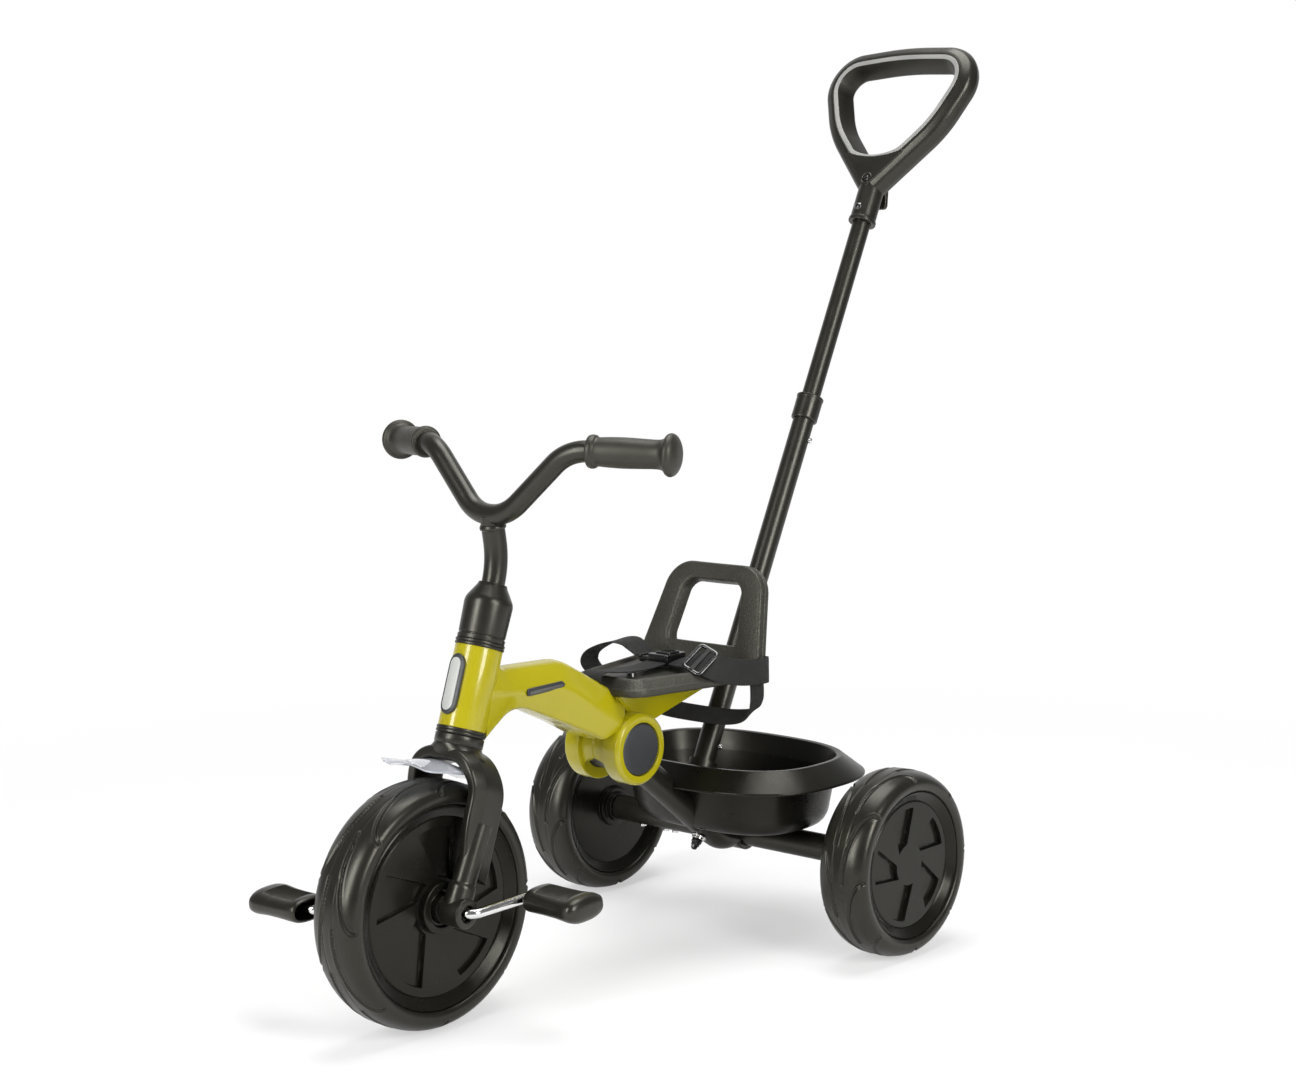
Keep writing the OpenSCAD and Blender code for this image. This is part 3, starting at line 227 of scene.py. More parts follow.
def sweep(path, profile, ref):
    """A profile of (a, b) carried along a path: point = path + a * side + b * (tangent x side)."""
    tangent = unit(np.gradient(path, axis=0))
    ref = np.broadcast_to(np.asarray(ref, float), path.shape)
    side = unit(ref - (ref * tangent).sum(1, keepdims=True) * tangent)
    other = np.cross(tangent, side)
    p = np.broadcast_to(profile, (len(path),) + profile.shape[-2:])
    return path[:, None] + side[:, None] * p[..., :1] + other[:, None] * p[..., 1:]


def inset(outline, distance):
    """A closed outline drawn inwards by a distance along its own normals."""
    d = np.roll(outline, -1, 0) - np.roll(outline, 1, 0)
    normal = unit(np.stack([-d[:, 1], d[:, 0]], -1))
    x, y = outline[:, 0], outline[:, 1]
    turning = np.sign((x * np.roll(y, -1) - np.roll(x, -1) * y).sum())
    return outline + normal * distance * turning


def pillow(outline, thick, edge, steps=5):
    """A plate of a closed outline from height 0 to thick, with both edges rounded."""
    t = np.linspace(0, np.pi / 2, steps)
    ins = np.concatenate([edge * (1 - np.sin(t)), edge * (1 - np.cos(t))])
    up = np.concatenate([edge * (1 - np.cos(t)), thick - edge * (1 - np.sin(t))])
    rings = [np.column_stack([inset(outline, i), np.full(len(outline), z)]) for i, z in zip(ins, up)]
    return np.stack(rings)


def skin(grid, wrap_u=False, caps=True):
    """Quads between neighbouring grid points, closed round v, with a flat face at each open end of u."""
    count_u, count_v = grid.shape[:2]
    index = np.arange(count_u * count_v).reshape(count_u, count_v)
    ends = [index[0, ::-1].tolist(), index[-1].tolist()] if caps and not wrap_u else []
    if wrap_u:
        index = np.vstack([index, index[:1]])
    index = np.hstack([index, index[:, :1]])
    quads = np.stack([index[:-1, :-1], index[1:, :-1], index[1:, 1:], index[:-1, 1:]], -1)
    return grid.reshape(-1, 3), quads.reshape(-1, 4).tolist() + ends


def mirror(patch):
    """A patch mirrored across the middle of the trike."""
    return patch[0] * [-1, 1, 1], patch[1]


print("helpers ready")

# %% [markdown]
# ## Finishes
# A black trike only looks real if its blacks differ: warm satin mouldings, a pebbled seat, slightly glossy
# wheel discs, soft foam tyres. What they share is made once, as node groups that put out colours, roughness
# and heights that change over the surface: a slow drift of tone, a moulded grain and fine rub marks.

# %% Node helpers and shared groups
def put(tree, kind, inputs=(), **settings):
    """Adds a node, sets its options, and fills each input with a value or with another node's output."""
    node = tree.nodes.new("ShaderNode" + kind)
    for key, value in settings.items():
        setattr(node, key, value)
    for key, value in dict(inputs).items():
        if isinstance(value, bpy.types.NodeSocket):
            tree.links.new(value, node.inputs[key])
        else:
            node.inputs[key].default_value = value
    return node


def new_group(name, inputs, outputs):
    """An empty shader group with named inputs and outputs."""
    tree = bpy.data.node_groups.new(name, "ShaderNodeTree")
    for label, kind, value in inputs:
        socket = tree.interface.new_socket(name=label, in_out="INPUT", socket_type="NodeSocket" + kind)
        if value is not None:
            socket.default_value = value
    for label, kind in outputs:
        tree.interface.new_socket(name=label, in_out="OUTPUT", socket_type="NodeSocket" + kind)
    return tree, tree.nodes.new("NodeGroupInput").outputs, tree.nodes.new("NodeGroupOutput").inputs


def tone_drift_group():
    """Colour times one plus or minus an amount, drifting slowly over the surface."""
    tree, given, out = new_group(
        "tone_drift",
        [("Vector", "Vector", None), ("Colour", "Color", (1, 1, 1, 1)), ("Amount", "Float", 0.1),
         ("Scale", "Float", 30)],
        [("Colour", "Color")])
    noise = put(tree, "TexNoise", {"Vector": given["Vector"], "Scale": given["Scale"], "Detail": 3.0})
    low = put(tree, "Math", {0: 1.0, 1: given["Amount"]}, operation="SUBTRACT")
    high = put(tree, "Math", {0: 1.0, 1: given["Amount"]}, operation="ADD")
    ramp = put(tree, "MapRange", {"Value": noise.outputs[0], "From Min": 0.3, "From Max": 0.7,
                                  "To Min": low.outputs[0], "To Max": high.outputs[0]})
    scaled = put(tree, "VectorMath", {0: given["Colour"], "Scale": ramp.outputs[0]}, operation="SCALE")
    tree.links.new(scaled.outputs[0], out["Colour"])
    return tree


def mould_grain_group():
    """Pebbles of a moulded grain: the height is the distance from a cell's middle, mixed with noise."""
    tree, given, out = new_group(
        "mould_grain", [("Vector", "Vector", None), ("Scale", "Float", 800), ("Mix", "Float", 0.5)],
        [("Height", "Float")])
    cells = put(tree, "TexVoronoi", {"Vector": given["Vector"], "Scale": given["Scale"]}, feature="SMOOTH_F1")
    fine = put(tree, "TexNoise", {"Vector": given["Vector"], "Scale": given["Scale"], "Detail": 4.0})
    both = put(tree, "Mix", {0: given["Mix"], 2: cells.outputs["Distance"], 3: fine.outputs[0]})
    tree.links.new(both.outputs[0], out["Height"])
    return tree


def rub_marks_group():
    """Roughness that wanders between a low and a high value in soft patches with fine specks."""
    tree, given, out = new_group(
        "rub_marks",
        [("Vector", "Vector", None), ("Low", "Float", 0.3), ("High", "Float", 0.5), ("Scale", "Float", 60)],
        [("Roughness", "Float")])
    noise = put(tree, "TexNoise", {"Vector": given["Vector"], "Scale": given["Scale"], "Detail": 8.0,
                                   "Roughness": 0.65})
    ramp = put(tree, "MapRange", {"Value": noise.outputs[0], "From Min": 0.35, "From Max": 0.65,
                                  "To Min": given["Low"], "To Max": given["High"]})
    tree.links.new(ramp.outputs[0], out["Roughness"])
    return tree


DRIFT = tone_drift_group()
GRAIN = mould_grain_group()
RUB = rub_marks_group()


def use(tree, group, inputs):
    """Places a shared group in a material."""
    return put(tree, "Group", inputs, node_tree=group).outputs[0]


RUB_SCALE = 45.0
GRAIN_HEIGHT = 0.0006


def finish(slot, colour, rough, grain=(900.0, 0.5, 0.05), drift=(0.08, 25.0), look=None, **shader):
    """A material of drifting colour with wandering roughness and a grain, on one shader.

    Roughness is (low, high), the grain is (scale, mix, strength) and the drift is (amount, scale).
    """
    mat = bpy.data.materials.new(look or slot + "_look")
    mat["slot"] = slot
    mat.use_nodes = True
    tree = mat.node_tree
    bsdf = tree.nodes["Principled BSDF"]
    where = put(tree, "TexCoord").outputs["Object"]
    tone = use(tree, DRIFT, {"Vector": where, "Colour": (*colour, 1), "Amount": drift[0], "Scale": drift[1]})
    tree.links.new(tone, bsdf.inputs["Base Color"])
    rub = use(tree, RUB, {"Vector": where, "Low": rough[0], "High": rough[1], "Scale": RUB_SCALE})
    tree.links.new(rub, bsdf.inputs["Roughness"])
    height = use(tree, GRAIN, {"Vector": where, "Scale": grain[0], "Mix": grain[1]})
    bump = put(tree, "Bump", {"Strength": grain[2], "Distance": GRAIN_HEIGHT, "Height": height})
    tree.links.new(bump.outputs[0], bsdf.inputs["Normal"])
    for key, value in shader.items():
        bsdf.inputs[key.replace("_", " ")].default_value = value
    return mat


print("shared groups:", DRIFT.name, GRAIN.name, RUB.name)

# %% [markdown]
# The colours are written as linear values. The frame's olive yellow is a glossy moulded plastic, so it gets
# a thin clear coat. The blacks are warm greys, because the real ones are never pure black.

# %% The finishes
WARM = (1.0, 0.97, 0.84, 1.0)
WARM_SHARES = (1.0, 0.97, 0.78)


def black(name, level, rough, grain, **shader):
    """A warm black: the level is its grey, and its highlights lean a little towards yellow too."""
    colour = [level * share for share in WARM_SHARES]
    return finish(name, colour, rough, grain, Specular_Tint=WARM, **shader)


frame_paint = finish("frame_paint", (0.365, 0.318, 0.0045), (0.20, 0.27), (700.0, 0.8, 0.006), (0.03, 12.0),
                     Coat_Weight=0.35, Coat_Roughness=0.05, Specular_IOR_Level=0.35)
satin_plastic = black("satin_plastic", 0.0090, (0.28, 0.37), (1100.0, 0.5, 0.04))
basket_plastic = black("satin_plastic", 0.0070, (0.26, 0.34), (1100.0, 0.5, 0.04), look="basket_look",
                       Specular_IOR_Level=0.25)
grained_plastic = black("grained_plastic", 0.0270, (0.40, 0.50), (520.0, 0.25, 0.9))
black_tube = black("black_tube", 0.0090, (0.30, 0.36), (700.0, 0.7, 0.010))
grey_plastic = finish("grey_plastic", (0.030, 0.032, 0.034), (0.36, 0.44), (1200.0, 0.5, 0.05))
# paler grey of the inlay's inner bar: a painted highlight
inlay_highlight_grey = finish("grey_plastic", (0.085, 0.085, 0.080), (0.22, 0.30), (1200.0, 0.5, 0.02),
                    look="inlay_highlight_look")
badge_silver = finish("badge_silver", (0.44, 0.45, 0.43), (0.30, 0.38), (1500.0, 0.6, 0.03), (0.03, 40.0))
grip_rubber = black("grip_rubber", 0.0160, (0.42, 0.52), (1600.0, 0.4, 0.1))
tyre_foam = black("tyre_foam", 0.0090, (0.27, 0.35), (1400.0, 0.5, 0.04), Specular_IOR_Level=0.40)
wheel_plastic = black("wheel_plastic", 0.0070, (0.20, 0.28), (1300.0, 0.5, 0.03), Specular_IOR_Level=0.22)
bright_steel = finish("bright_steel", (0.72, 0.72, 0.71), (0.10, 0.16), (900.0, 0.7, 0.015), (0.04, 60.0),
                      Metallic=1.0)
tube_steel = finish("tube_steel", (0.30, 0.30, 0.31), (0.30, 0.40), (900.0, 0.7, 0.03), Metallic=1.0)
# pale grey for the liner's edge on the handle: a painted highlight, not a grey part
lip_highlight_grey = finish("grey_plastic", (0.27, 0.27, 0.26), (0.32, 0.40), (1200.0, 0.5, 0.03), look="lip_highlight_look")
dark_steel = finish("tube_steel", (0.11, 0.11, 0.11), (0.16, 0.22), (900.0, 0.7, 0.02),
                    look="dark_steel_look", Metallic=1.0)
buckle_plastic = finish("buckle_plastic", (0.0060, 0.0060, 0.0060), (0.18, 0.26), (1300.0, 0.5, 0.03))
clear_plastic = finish("clear_plastic", (0.80, 0.82, 0.87), (0.05, 0.09), (300.0, 0.8, 0.01), (0.02, 20.0),
                       Transmission_Weight=0.7, IOR=1.47, Coat_Weight=0.6, Coat_Roughness=0.03)


RIB_WAVE, PICK_WAVE = 3.6, 4.4  # turns of phase in radians for each millimetre
WEAVE_STRENGTH, WEAVE_HEIGHT = 0.7, 0.0007
# shares of the strap's tone: painted shade in the weave's hollows and a painted highlight on its crests
HOLLOW_SHADE, RIB_HIGHLIGHT = 0.55, 1.6


def webbing_finish():
    """Ribbed polyester: ribs run along the strap as waves of the across place kept in the weave attribute."""
    mat = finish("webbing", (0.0095, 0.0093, 0.0086), (0.62, 0.74))
    tree = mat.node_tree
    bsdf = tree.nodes["Principled BSDF"]
    place = put(tree, "Attribute", attribute_name="weave").outputs["Vector"]
    axes = put(tree, "SeparateXYZ", {0: place})
    rib = put(tree, "Math", {0: axes.outputs[0], 1: RIB_WAVE}, operation="MULTIPLY")
    pick = put(tree, "Math", {0: axes.outputs[1], 1: PICK_WAVE}, operation="MULTIPLY")
    waves = [put(tree, "Math", {0: part.outputs[0]}, operation="SINE") for part in (rib, pick)]
    height = put(tree, "Math", {0: waves[0].outputs[0], 1: waves[1].outputs[0]}, operation="MULTIPLY")
    bump = put(tree, "Bump", {"Strength": WEAVE_STRENGTH, "Distance": WEAVE_HEIGHT,
                              "Height": height.outputs[0]})
    tree.links.new(bump.outputs[0], bsdf.inputs["Normal"])
    # the tone follows the weave's height, painted shade in the hollows and a painted highlight on the crests
    light = put(tree, "MapRange", {"Value": height.outputs[0], "From Min": -1.0, "To Min": HOLLOW_SHADE,
                                   "To Max": RIB_HIGHLIGHT})
    tone = bsdf.inputs["Base Color"].links[0].from_socket
    shaded_weave = put(tree, "VectorMath", {0: tone, "Scale": light.outputs[0]}, operation="SCALE")
    tree.links.new(shaded_weave.outputs[0], bsdf.inputs["Base Color"])
    return mat


webbing = webbing_finish()
slider_plastic = finish("buckle_plastic", (0.008, 0.008, 0.008), (0.45, 0.55), look="slider_bar_look")
print("finishes:", ", ".join(m.name for m in bpy.data.materials if m.use_nodes and m.users == 0))

# %% [markdown]
# `make` turns patches into one object. It merges the poles, turns every face outwards, shades smooth except
# at real edges, and then hangs it on an empty for the body it rides on and hides the CAD nodes it stands for.

# %% Make a piece
def make(name, patches, mat, body, *stands_for, sharp=38.0, weave=None):
    """One mesh from patches in millimetres, riding on a body."""
    sizes = np.cumsum([0] + [len(v) for v, f in patches])
    verts = np.vstack([v for v, f in patches]) * MM
    faces = [[i + base for i in face] for base, (v, f) in zip(sizes, patches) for face in f]
    mesh = bpy.data.meshes.new(name)
    mesh.from_pydata(verts.tolist(), [], faces)
    if weave is not None:
        layer = mesh.attributes.new("weave", "FLOAT_VECTOR", "POINT")
        layer.data.foreach_set("vector", np.ascontiguousarray(weave, np.float32).ravel())
    bm = bmesh.new()
    bm.from_mesh(mesh)
    bmesh.ops.remove_doubles(bm, verts=bm.verts, dist=1e-6)
    bmesh.ops.recalc_face_normals(bm, faces=bm.faces)
    bm.to_mesh(mesh)
    bm.free()
    mesh.shade_smooth()
    mesh.set_sharp_from_angle(angle=np.radians(sharp))
    obj = bpy.data.objects.new(name, mesh)
    bpy.context.scene.collection.objects.link(obj)
    mesh.materials.append(mat)
    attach(obj, body)
    if stands_for:
        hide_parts(*stands_for)
    print(f"{name}: {len(mesh.polygons)} faces on {body}")


# %% [markdown]
# ## Foam tyres
# The tyres are solid foam with swoosh grooves: each starts square to the rim and swings round until it runs
# along the tread. The section is a superellipse, and the groove is a dent wherever a point lies near the
# groove's line, measured on the unrolled surface. One pitch of the pattern is worked out and repeated.

# %% Tyres
FRONT_RIM_R = 103.5
REAR_RIM_R = 81.0
TYRE_ROWS = 96
BULGE_SHARE = 0.3
CROWN_POWER = 2.4
TYRE_FOOT = [(2.2, 0.6), (0.4, 2.2), (0.0, 3.4)]  # way above the rim, way in from the side
GROOVES = 8
PITCH_COLUMNS = 80
GROOVE_SPAN = 46.0
GROOVE_WIDTH = 2.8
GROOVE_DEPTH = 2.2
GROOVE_FROM, GROOVE_REACH = 0.075, 0.335  # shares of the way across the crown
LIP_RISE, LIP_WIDTH = 0.35, 0.7
RING_AT, RING_DEPTH, RING_WIDTH = 7.0, 0.45, 0.8


def tyre_section(radius, width, rim_r):
    """Superellipse crown from side to side, walked in equal steps, as (radius, place across)."""
    bulge = rim_r + BULGE_SHARE * (radius - rim_r)
    t = np.linspace(0, np.pi, 400)
    power = 2 / CROWN_POWER
    r = bulge + (radius - bulge) * np.sin(t) ** power
    x = width / 2 * np.sign(np.cos(t)) * np.abs(np.cos(t)) ** power
    return evenly(np.column_stack([r, x]), TYRE_ROWS)


def groove_dent(crown, radius, turn):
    """Dent of each grid point: deep near a groove's line, with a low lip beside it, plus two fine rings."""
    along = walked(crown)
    pitch = 360 / GROOVES
    t = np.linspace(0, np.pi / 2, 40)
    shifts = np.arange(-2, 3)[:, None] * pitch
    line_turn = np.radians(shifts + turn * GROOVE_SPAN * (1 - np.cos(t))).ravel() * radius
    line_across = np.tile(along[-1] * (GROOVE_FROM + GROOVE_REACH * np.sin(t)), len(shifts))
    angle = np.radians(np.arange(PITCH_COLUMNS) * pitch / PITCH_COLUMNS) * radius
    away = np.hypot(angle[:, None, None] - line_turn, along[None, :, None] - line_across).min(-1)
    lip = LIP_RISE * bell(away - GROOVE_WIDTH - LIP_WIDTH, LIP_WIDTH)
    dent = GROOVE_DEPTH * step(1 - away / GROOVE_WIDTH) - lip
    other = np.roll(dent[:, ::-1], PITCH_COLUMNS // 2, 0)
    rings = RING_DEPTH * bell(np.abs(along - along[-1] / 2) - RING_AT, RING_WIDTH)
    return np.tile(dent + other + rings, (GROOVES, 1))


def tyre(node, body, rim_r, turn):
    """A tyre in its node's place, with its crown dented by the grooves and its foot on the rim."""
    low, high = box_mm(node)
    radius, width = (high[2] - low[2]) / 2, high[0] - low[0]
    crown = tyre_section(radius, width, rim_r)
    along = unit(np.gradient(crown, axis=0))
    normal = np.column_stack([along[:, 1], -along[:, 0]])
    dent = groove_dent(crown, radius, turn)
    ring = crown - normal * np.sign((normal * (crown - crown.mean(0))).sum()) * dent[..., None]
    side = width / 2
    far = [(rim_r + up, within - side) for up, within in TYRE_FOOT]
    near = [(rim_r + up, side - within) for up, within in TYRE_FOOT[::-1]]
    foot = np.array(far + near)
    section = np.concatenate([ring, np.broadcast_to(foot, (len(ring),) + foot.shape)], 1)
    t = np.linspace(0, 2 * np.pi, len(ring), endpoint=False)[:, None]
    grid = np.stack([section[..., 1], section[..., 0] * np.cos(t), section[..., 0] * np.sin(t)], -1)
    foam = skin(grid + (low + high) / 2, wrap_u=True)
    make(node + "_foam", [foam], tyre_foam, body, node, sharp=60)


tyre("front_tyre", "front_wheel", FRONT_RIM_R, -1)
for name in ("left", "right"):
    tyre(name + "_rear_tyre", name + "_rear_wheel", REAR_RIM_R, 1)

# %% [markdown]
# ## Wheel discs
# Each disc has five blade shaped pockets, like a pinwheel. A round grid would cut across the slanted blade
# edges and look ragged, so the grid's spokes are bent to follow the blades: every column keeps its share of
# the way from one blade edge to the next at every radius. The blades lean one way on the front wheel and the
# other way on the rear wheels.

# %% Wheel discs
BLADES = 5
BLADE_DEPTH = 5.0
BLADE_EDGE = 1.2
BLADE_IN, BLADE_OUT = 0.33, 0.90  # shares of the disc's radius
BLADE_WIDE_IN, BLADE_WIDE_OUT = np.radians([43.0, 35.0])
EDGE_STEPS = np.array([-2.6, -1.7, -1.0, -0.4, 0.0, 0.5, 1.1, 1.7, 2.3, 3.0])
EDGE_ROOM = 6.0
BAND_IN, BAND_OUT = 3.0, 4.0
HUB_ROWS = [0, 8, 15, 20]
SEAM_ROWS = np.array([-1.4, -0.7, -0.3, 0.0, 0.4, 0.9, 1.5])
RIM_ROWS = np.array([-2.6, -1.6, -0.8, -0.2, 0.0])
SEAM_AT, SEAM_DEPTH, SEAM_WIDTH = 0.3, 0.9, 0.5
BAND_FROM = 1.0
RIM_EDGE, RIM_FALL = 1.8, 1.2
COLUMN_REACH = 40.0
MIDDLE_COLUMNS = np.linspace(0.14, 0.86, 8)
FACE_DROP = 6.7
BACK_GAP = 0.1
SHELL_BACK = [(0.0, 2.0), (0.0, 0.2), (-6.0, BACK_GAP)]  # past the rim, place along the axle


def disc_rows(inner, outer, disc_r, rim_r):
    """Radii of the grid's rings: close together at every edge."""
    return np.concatenate([
        HUB_ROWS, inner + EDGE_STEPS, np.linspace(inner + EDGE_ROOM, outer - EDGE_ROOM, 9),
        outer - EDGE_STEPS[::-1], disc_r + SEAM_ROWS, np.linspace(disc_r + BAND_IN, rim_r - BAND_OUT, 5),
        rim_r + RIM_ROWS])


def blade_edge(r, inner, outer, turn_in, turn_out):
    """Angle at each radius of a straight edge between a point on the inner and one on the outer circle."""
    s = np.linspace(0, 1, 80)
    line = (1 - s) * inner * np.exp(1j * turn_in) + s * outer * np.exp(1j * turn_out)
    return np.interp(r, np.abs(line), np.unwrap(np.angle(line)))


def disc_face(disc_r, rim_r, lip, face, swirl, phase):
    """The outside of a wheel shell as (radius, angle, place along the axle) on a bent polar grid."""
    inner, outer = BLADE_IN * disc_r, BLADE_OUT * disc_r
    r = disc_rows(inner, outer, disc_r, rim_r)[:, None]
    pitch = 2 * np.pi / BLADES
    start = blade_edge(r, inner, outer, 0.0, swirl)
    wide = blade_edge(r, inner, outer, BLADE_WIDE_IN, swirl + BLADE_WIDE_OUT) - start
    near = EDGE_STEPS / COLUMN_REACH
    blade = np.concatenate([near[near >= 0], MIDDLE_COLUMNS, 1 + near[near < 0]])
    land = np.concatenate([[0.0], -near[near < 0][::-1], MIDDLE_COLUMNS, 1 - near[near > 0][::-1]])
    turn = phase + np.hstack([start + wide * blade, start + wide + (pitch - wide) * land])
    inside = np.hstack([blade, np.full(len(land), -1.0)])[None]
    left = inside * wide * r
    right = (1 - inside) * wide * r
    mask = step(left / BLADE_EDGE) * step(right / BLADE_EDGE)
    mask = mask * step((r - inner) / BLADE_EDGE) * step((outer - r) / BLADE_EDGE) * (inside > 0)
    base = np.interp(r, [disc_r + BAND_FROM, rim_r - RIM_EDGE, rim_r], [face, lip, lip - RIM_FALL])
    seam = SEAM_DEPTH * bell(r - disc_r - SEAM_AT, SEAM_WIDTH)
    x = base - seam - BLADE_DEPTH * mask
    angle = turn[None] + np.arange(BLADES)[:, None, None] * pitch
    angle = angle.transpose(1, 0, 2).reshape(len(r), -1)
    return np.broadcast_to(r, angle.shape), angle, np.tile(x, (1, BLADES))


def shell_grid(r, angle, x, side):
    """Polar values as points, with the outside facing to the given side."""
    return np.stack([side * x, r * np.cos(angle), r * np.sin(angle)], -1)


def bladed_shell(node, body, mid, side, disc_r, rim_r, lip, swirl, phase, extras=()):
    """A wheel shell: bladed face, rim barrel and a plain back, with any turned rings on its hub."""
    r, angle, x = disc_face(disc_r, rim_r, lip, lip - FACE_DROP, *np.radians([swirl, phase]))
    back = [(rim_r + past, place) for past, place in SHELL_BACK] + [(0.0, BACK_GAP)]
    ones = np.ones((1, r.shape[1]))
    tail = [shell_grid(ones * br, angle[-1:], ones * bx, side) for br, bx in back]
    grid = np.concatenate([shell_grid(r, angle, x, side)] + tail) + mid
    turned = [skin(about_x(lathe(p, 96)) * [side, 1, 1] + mid, wrap_u=True) for p in extras]
    make(node + "_disc", [skin(grid, caps=False)] + turned, wheel_plastic, body, node)


FRONT_LIP = 28.2
REAR_LIP = 27.7
REAR_DISC_R = 69.0
FRONT_BLADES = (90.0, FRONT_RIM_R, FRONT_LIP, 27.0, 46.0)  # disc radius, rim radius, lip, swirl, phase
REAR_BLADES = (REAR_DISC_R, REAR_RIM_R, REAR_LIP, -18.0, 28.0)
BORE_R = 5.2
FRONT_COLLAR = soften([(BORE_R, 18), (26.4, 18), (26.4, 29.5), (18.6, 29.5), (18.6, 25), (14.5, 25),
                       (14.5, 34.4), (BORE_R, 34.4)], 1.2, 4, closed=True)
for node, side in (("front_wheel_left", 1), ("front_wheel_right", -1)):
    bladed_shell(node, "front_wheel", FRONT_AXLE, side, *FRONT_BLADES, [FRONT_COLLAR])

PLAIN_HUB = [  # radius, way out of the face
    (BORE_R, 12.2), (17.5, 12.2), (17.5, 5.0), (21.0, 5.0), (24.0, 4.5), (24.0, -0.2), (27.0, -0.2)]
PLAIN_SEAM = [(-0.6, 0.0), (0.0, -0.8), (0.6, 0.0)]  # past the disc's edge, way out of the face


def plain_shell(node, body, mid, side):
    """The inner half of a rear wheel: flat face, sloping rim and stepped hub, spun about the axle."""
    lip, face = REAR_LIP, REAR_LIP - FACE_DROP
    hub = [(BORE_R, BACK_GAP)] + [(r, face + out) for r, out in PLAIN_HUB]
    seam = [(REAR_DISC_R + past, face + out) for past, out in PLAIN_SEAM]
    rim = [(REAR_RIM_R - RIM_EDGE, lip), (REAR_RIM_R, lip - RIM_FALL), (REAR_RIM_R, BACK_GAP)]
    profile = soften(hub + seam + rim, 0.8, 4, closed=True)
    grid = about_x(lathe(profile, 128)) * [side, 1, 1] + mid
    make(node + "_disc", [skin(grid, wrap_u=True)], wheel_plastic, body, node)


for name, side in (("left", 1), ("right", -1)):
    body = name + "_rear_wheel"
    wheel_mid = centre(name + "_rear_tyre")
    bladed_shell(name + "_rear_outer", body, wheel_mid, side, *REAR_BLADES)
    plain_shell(name + "_rear_inner", body, wheel_mid, -side)

# %% [markdown]
# ## Cranks and pedals
# One chromed rod is bent into both cranks and is the front axle too, so it is a single round profile carried
# along a line with rounded corners. Each pedal is a stack of superellipses: a waist in the middle, a swelling
# at the outer end, an open mouth at the crank and a ribbed tread patch above and below.

# %% Crank and pedals
CRANK_LEN = 77.0
CRANK = [(-149.0, -CRANK_LEN, 0.0), (-75.5, -CRANK_LEN, 0.0), (-68.5, 0.0, 0.0)]
CRANK_R = 5.0
CRANK_BEND = 12.0
crank_line = np.array(CRANK + [(-x, -y, z) for x, y, z in CRANK[::-1]])
crank_line = soften(crank_line, CRANK_BEND, 12)
crank_rod = sweep(cranked(crank_line), oval(CRANK_R, CRANK_R, 2, 40), (0, 0.05, 1))
make("chrome_crank", [skin(crank_rod)], bright_steel, "front_wheel", "pedal_crank")

PEDAL_STATIONS = np.array([  # place along the pedal, half depth, half height
    (0.0, 20.5, 10.4), (1.2, 21.8, 11.8), (4.0, 22.8, 12.6), (12.0, 23.6, 12.4), (26.0, 24.2, 11.8),
    (44.0, 25.0, 11.8), (54.0, 25.8, 12.6), (61.0, 26.0, 13.4), (66.5, 25.0, 12.9), (70.0, 21.5, 10.6),
    (71.6, 15.0, 6.8), (72.0, 8.0, 3.6)])
PEDAL_MOUTH = np.array([(24.0, 15.6, 7.6), (23.0, 17.2, 8.6), (2.5, 18.6, 9.2), (0.4, 19.6, 9.8)])
TREAD_FROM, TREAD_TO, TREAD_PITCH = 10.0, 56.0, 2.8
TREAD_HALF, TREAD_EDGE, TREAD_SINK, RIB_RISE = 15.5, 1.2, 0.5, 0.7
PEDAL_POWER = 2.5
PEDAL_ROWS = np.concatenate([[0, 1.2, 2.5, 4, 7], np.arange(9, 57, 0.7),
                             [58, 60, 62, 64, 66.5, 68.5, 70, 71, 71.6, 72]])


def pedal_grid():
    """Rings of a pedal from inside its mouth to its rounded end, with ribs on the tread patches."""
    half = np.stack([np.interp(PEDAL_ROWS, PEDAL_STATIONS[:, 0], PEDAL_STATIONS[:, k]) for k in (1, 2)])
    x = np.concatenate([PEDAL_MOUTH[:, 0], PEDAL_ROWS])
    half = np.hstack([PEDAL_MOUTH[:, 1:].T, half])
    ring = oval(half[0], half[1], PEDAL_POWER, 120)
    inside = (x >= TREAD_FROM) & (x <= TREAD_TO) & (np.arange(len(x)) >= len(PEDAL_MOUTH))
    mask = step((TREAD_HALF - np.abs(ring[..., 0])) / TREAD_EDGE) * inside[:, None]
    rib = RIB_RISE * np.cos(2 * np.pi * x / TREAD_PITCH)[:, None]
    ring[..., 1] += np.sign(ring[..., 1]) * mask * (rib - TREAD_SINK)
    return np.concatenate([np.broadcast_to(x[:, None, None], ring.shape[:2] + (1,)), ring], -1)


PEDAL_IN = 83.0
for name, side in (("left", 1), ("right", -1)):
    body = name + "_pedal_body"
    grid = (pedal_grid() + [PEDAL_IN, 0, 0]) * [side, 1, 1] + [0, side * CRANK_LEN, 0]
    make(body + "_moulding", [skin(cranked(grid))], satin_plastic, body, name + "_pedal", sharp=50)

# %% [markdown]
# ## Fork
# The fork cover is an arch: up one leg, over the wheel and down the other. Its section has five corners, so
# a ridge runs down the outside of each leg. The legs stand a little behind the steering line, thin out
# towards their feet and end on a slant. A collar flares from the round head into the arch.

# %% Fork cover and legs
LEG_X = 45.75
ARCH = [(-LEG_X, 0, 36.0), (-LEG_X, 0, 151.0), (LEG_X, 0, 151.0), (LEG_X, 0, 36.0)]
FORK_SECTION = [(-20.5, -7.6), (-21.5, 4.0), (-7.0, 8.6), (20.5, 6.6), (21.5, -7.6)]
ARCH_BEND, FORK_CORNER = 33.0, 4.0
LEG_SETBACK, FOOT_SETBACK = 9.0, 3.0
LEG_THIN, FOOT_THIN = 0.06, 0.14  # shares taken off the section
LEG_FROM, LEG_RUN = 150.0, 40.0
FOOT_FROM, FOOT_RUN = 95.0, 60.0
SLANT_FROM, SLANT_RUN, SLANT_MID, SLANT = 80.0, 45.0, 12.0, 0.34


